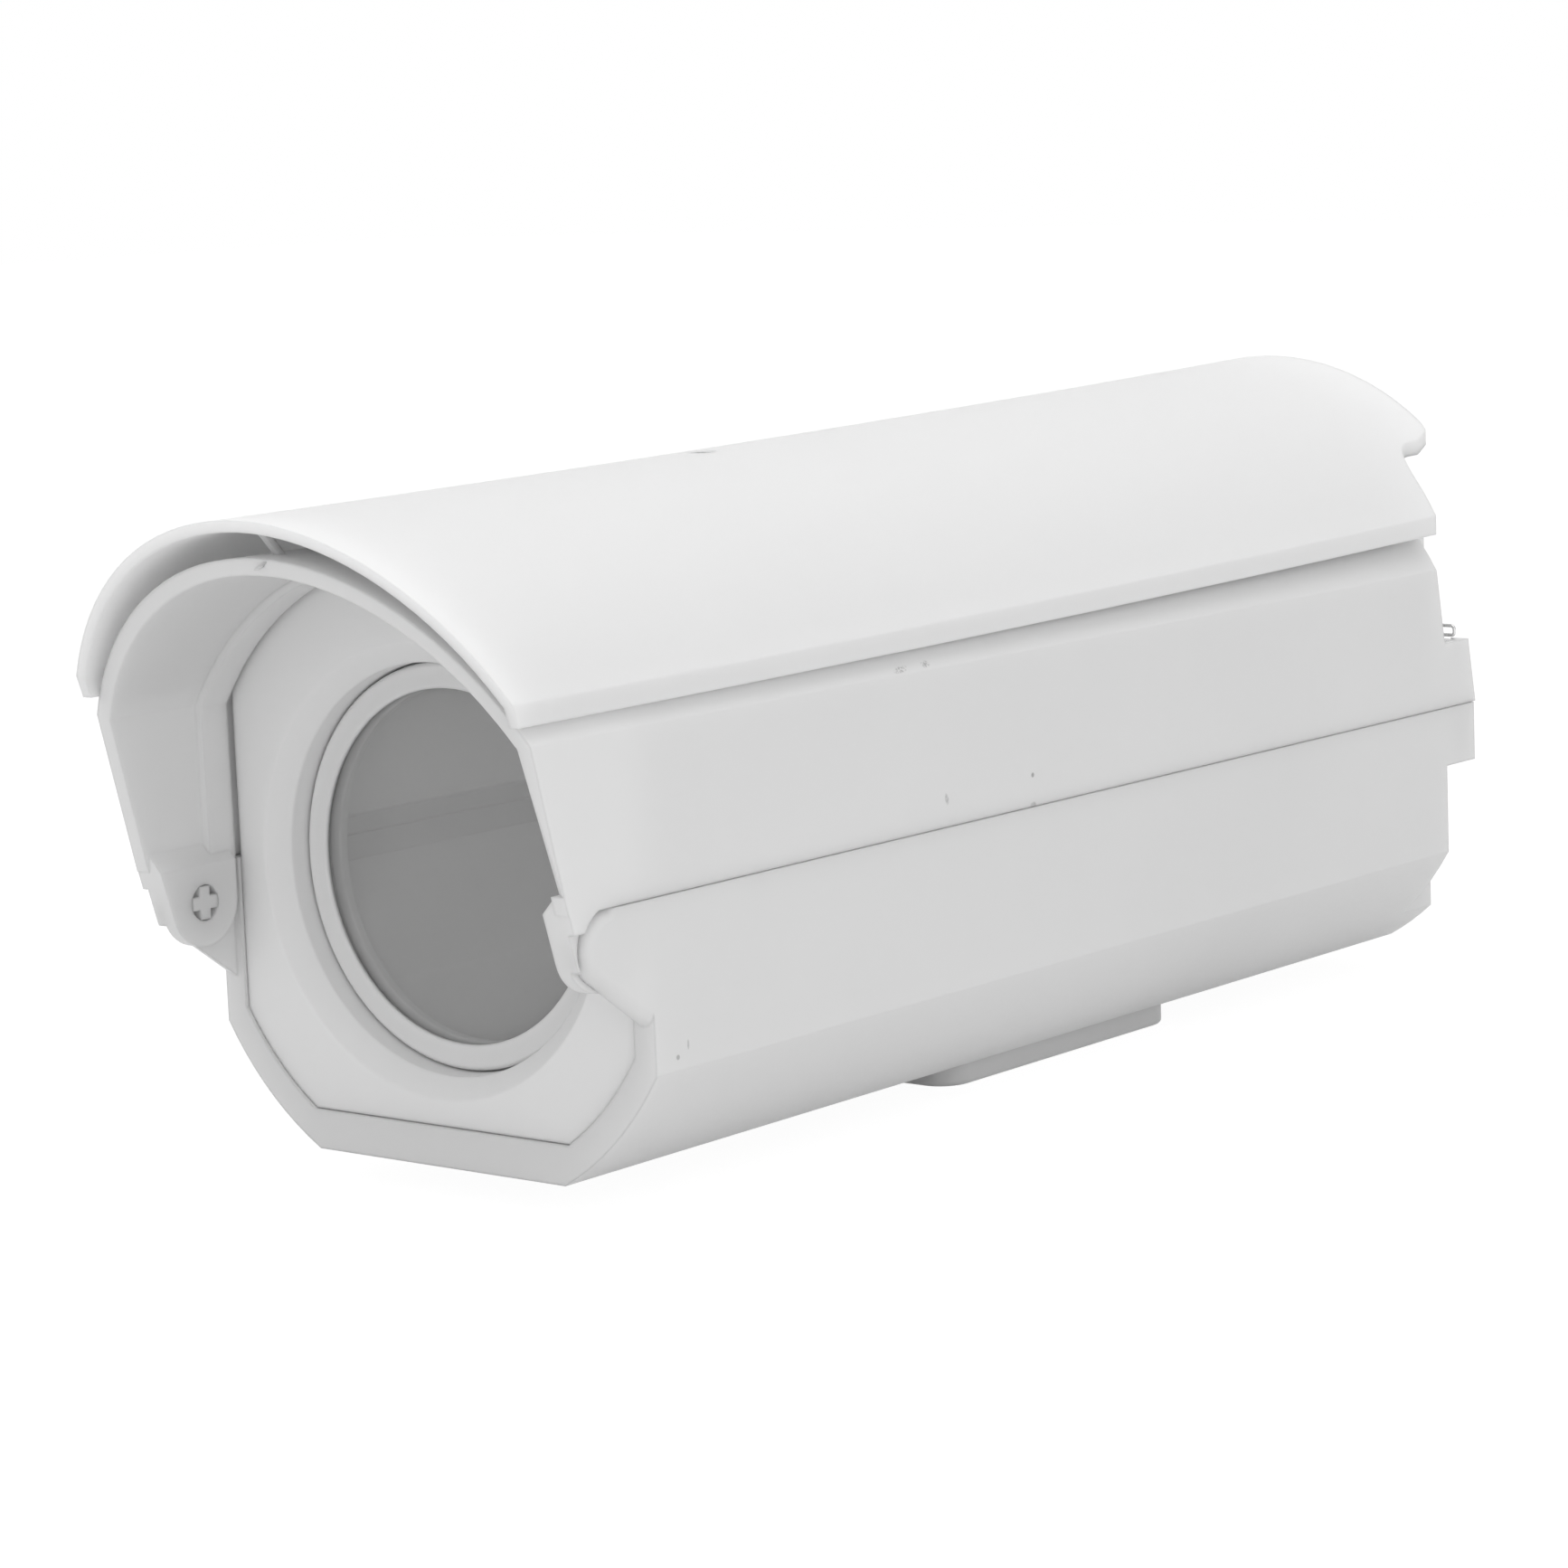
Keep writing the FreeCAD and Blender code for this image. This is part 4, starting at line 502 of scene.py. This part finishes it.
def glands():
    """Cable glands: threaded body with a rounded hexagon, fluted cap, and the locknuts inside."""
    def dome(reach):
        return lambda angle: reach - 0.22 * (1 + math.cos(12 * angle))

    body_outline = ([(6.4, 0.0), (9.2, 0.0)] + thread(9.9, 9.2, 0.2, 14.0, 1.5)
                    + [(9.4, 14.3), (11.0, 14.3), (hexagon(24.0, 13.1), 14.9),
                       (hexagon(24.0, 13.1), 18.7), (11.2, 19.3), (9.2, 19.3), (9.2, 27.0),
                       (8.9, 27.3), (8.1, 27.3), (8.0, 27.2), (8.0, 19.3), (6.4, 19.3)])
    cap_outline = [(9.25, 0.0), (10.8, 0.0), (hexagon(22.4, 12.2), 0.7), (hexagon(22.4, 12.2), 7.0),
                   (11.1, 7.9), (dome(11.1), 8.6), (dome(10.9), 9.8), (dome(10.2), 11.2), (dome(9.1), 12.3),
                   (dome(8.0), 12.85), (6.9, 13.0), (5.6, 13.0), (5.2, 12.6), (5.2, 8.0), (9.25, 8.0)]
    nut_outline = [(9.95, 0.0), (11.2, 0.0), (hexagon(24.0, 13.1), 0.6), (hexagon(24.0, 13.1), 3.4),
                   (11.2, 4.0), (9.95, 4.0)]
    for side in ("left", "right"):
        for part, finish, outline in (("body", "threaded", body_outline), ("cap", "fluted", cap_outline)):
            node = "gland_%s_%s" % (part, side)
            start = middle(node)
            start.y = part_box(node)[0][1]
            make("gland_%s_%s_%s" % (part, finish, side), "housing", nylon,
                 [(sleeve(outline), start, "Y")], [node])
    low, high = (Vector(c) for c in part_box("gland_locknuts"))
    half = 12.0 * MM
    spots = [Vector((x, low.y, (low.z + high.z) / 2)) for x in (low.x + half, high.x - half)]
    make("gland_nuts", "housing", nylon, [(sleeve(nut_outline), spot, "Y") for spot in spots],
         ["gland_locknuts"])


def inserts():
    """Knurled brass sleeves with a thread inside, open at the underside of the mounting pad."""
    def knurl(angle):
        return 3.5 if round(angle / (math.tau / SIDES)) % 2 else 3.3

    outline = ([(2.6, 0.0), (3.2, 0.0), (3.35, 0.2), (knurl, 0.5), (knurl, 3.3), (3.1, 3.6),
                (3.1, 4.4), (knurl, 4.7), (knurl, 7.5), (3.2, 8.0), (2.5, 8.0)]
               + thread(2.1, 2.42, 7.8, 0.3, 0.8))
    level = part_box("mount_inserts")[0][2]
    make("knurled_inserts", "housing", brass,
         [(sleeve(outline), spot, "Z") for spot in spread("mount_inserts", 3.5, level, 2)], ["mount_inserts"])


def lip_flake():
    """Small raised flake on the hood's lip."""
    def flake(bm):
        bmesh.ops.create_icosphere(bm, subdivisions=3, radius=MM)
        bmesh.ops.scale(bm, verts=bm.verts, vec=(2.2, 0.5, 0.45))
        ends = [v for v in bm.verts if v.co.x > 0.8 * MM]
        bmesh.ops.translate(bm, verts=ends, vec=(0, 0, 0.35 * MM))
        bmesh.ops.rotate(bm, verts=bm.verts, cent=(0, 0, 0), matrix=Matrix.Rotation(-0.35, 3, "Y"))
    make("lip_flake", "cover", cover,
         [(flake, Vector((2.2, -240.9, 146.2)) * MM, "Z")])


# Outline of the sunshield's tab and foot of the hood's lip, in mm as the photograph shows them
TAB_HALF, TAB_CUT, TAB_END, TAB_NOTCH, TAB_CORNER = 52.0, 125.3, 147.2, 7.6, 5.3
LIP_IN, LIP_OUT, LIP_SLOPE = 61.2, 65.0, 0.763
LIP_TOP, LIP_TOP_Y, LIP_FOOT, LIP_FOOT_Y = 109.5, -228.6, 77.2, -217.72

trimmed("shade_with_tab", "sunshield", "cover", shade, tab_trim)
trimmed("cover_with_lip", "top_cover", "cover", cover, lip_trim)
screws()
glands()
inserts()
lip_flake()


# Studio: pale floor, white surround and soft lamps (name, place, width in metres, watts)

ROOM_LIGHT, ROOM_SEEN = 0.70, 1.0
FLOOR_HALF, FLOOR_DROP = 6.0, 0.2
FLOOR_GLOW, GLOW_SHARE = 1.12, 0.85
LAMP_AIM = Vector((0, -0.05, 0.08))
LAMPS = (("top_softbox", (0.1, -0.1, 1.3), 1.4, 6.5),
         ("side_softbox", (1.4, -0.5, 0.28), 1.2, 2.4),
         ("front_softbox", (0.2, -1.4, 0.5), 1.0, 0.9))


def studio():
    world = bpy.data.worlds.new("white_room")
    bpy.context.scene.world = world
    world.use_nodes = True
    nodes, links = world.node_tree.nodes, world.node_tree.links
    back = nodes["Background"]
    seen = nodes.new("ShaderNodeLightPath")
    both = nodes.new("ShaderNodeMath")
    both.operation = "MAXIMUM"
    links.new(seen.outputs["Is Camera Ray"], both.inputs[0])
    links.new(seen.outputs["Is Transmission Ray"], both.inputs[1])
    strength = nodes.new("ShaderNodeMapRange")
    strength.inputs["To Min"].default_value = ROOM_LIGHT
    strength.inputs["To Max"].default_value = ROOM_SEEN
    links.new(both.outputs["Value"], strength.inputs["Value"])
    links.new(strength.outputs["Result"], back.inputs["Strength"])
    back.inputs["Color"].default_value = (1.0, 1.0, 1.0, 1.0)

    room = bmesh.new()
    bmesh.ops.create_grid(room, x_segments=1, y_segments=1, size=FLOOR_HALF)
    bmesh.ops.translate(room, verts=room.verts, vec=(0, 0, -FLOOR_DROP * MM))
    mesh = bpy.data.meshes.new("floor")
    room.to_mesh(mesh)
    room.free()
    floor = bpy.data.objects.new("floor", mesh)
    bpy.context.scene.collection.objects.link(floor)
    mat, nodes, links, shader = new_material("floor_white")
    spot = coords(nodes, links)
    tone = span(nodes, links, noise(nodes, links, spot, 2.0), 0.3, 0.7)
    links.new(blend(nodes, links, tone, grey(0.80), grey(0.82)), shader.inputs["Base Color"])
    shader.inputs["Roughness"].default_value = 0.9
    shader.inputs["Specular IOR Level"].default_value = 0.0
    glow = nodes.new("ShaderNodeEmission")
    glow.inputs["Strength"].default_value = FLOOR_GLOW
    seen = nodes.new("ShaderNodeLightPath")
    indirect = math_node(nodes, links, "MAXIMUM", seen.outputs["Is Glossy Ray"],
                         seen.outputs["Is Transmission Ray"])
    direct = math_node(nodes, links, "MAXIMUM", seen.outputs["Is Camera Ray"], indirect)
    share = math_node(nodes, links, "MULTIPLY", direct, GLOW_SHARE)
    mix = nodes.new("ShaderNodeMixShader")
    links.new(share, mix.inputs["Fac"])
    links.new(shader.outputs["BSDF"], mix.inputs[1])
    links.new(glow.outputs["Emission"], mix.inputs[2])
    links.new(mix.outputs["Shader"], nodes["Material Output"].inputs["Surface"])
    mesh.materials.append(mat)

    for name, spot, size, power in LAMPS:
        lamp = bpy.data.lights.new(name, "AREA")
        lamp.shape, lamp.size, lamp.energy = "SQUARE", size, power
        holder = bpy.data.objects.new(name, lamp)
        holder.location = spot
        aim = LAMP_AIM - Vector(spot)
        holder.rotation_mode = "QUATERNION"
        holder.rotation_quaternion = aim.to_track_quat("-Z", "Y")
        bpy.context.scene.collection.objects.link(holder)


studio()
bpy.context.scene.view_settings.view_transform = "Standard"
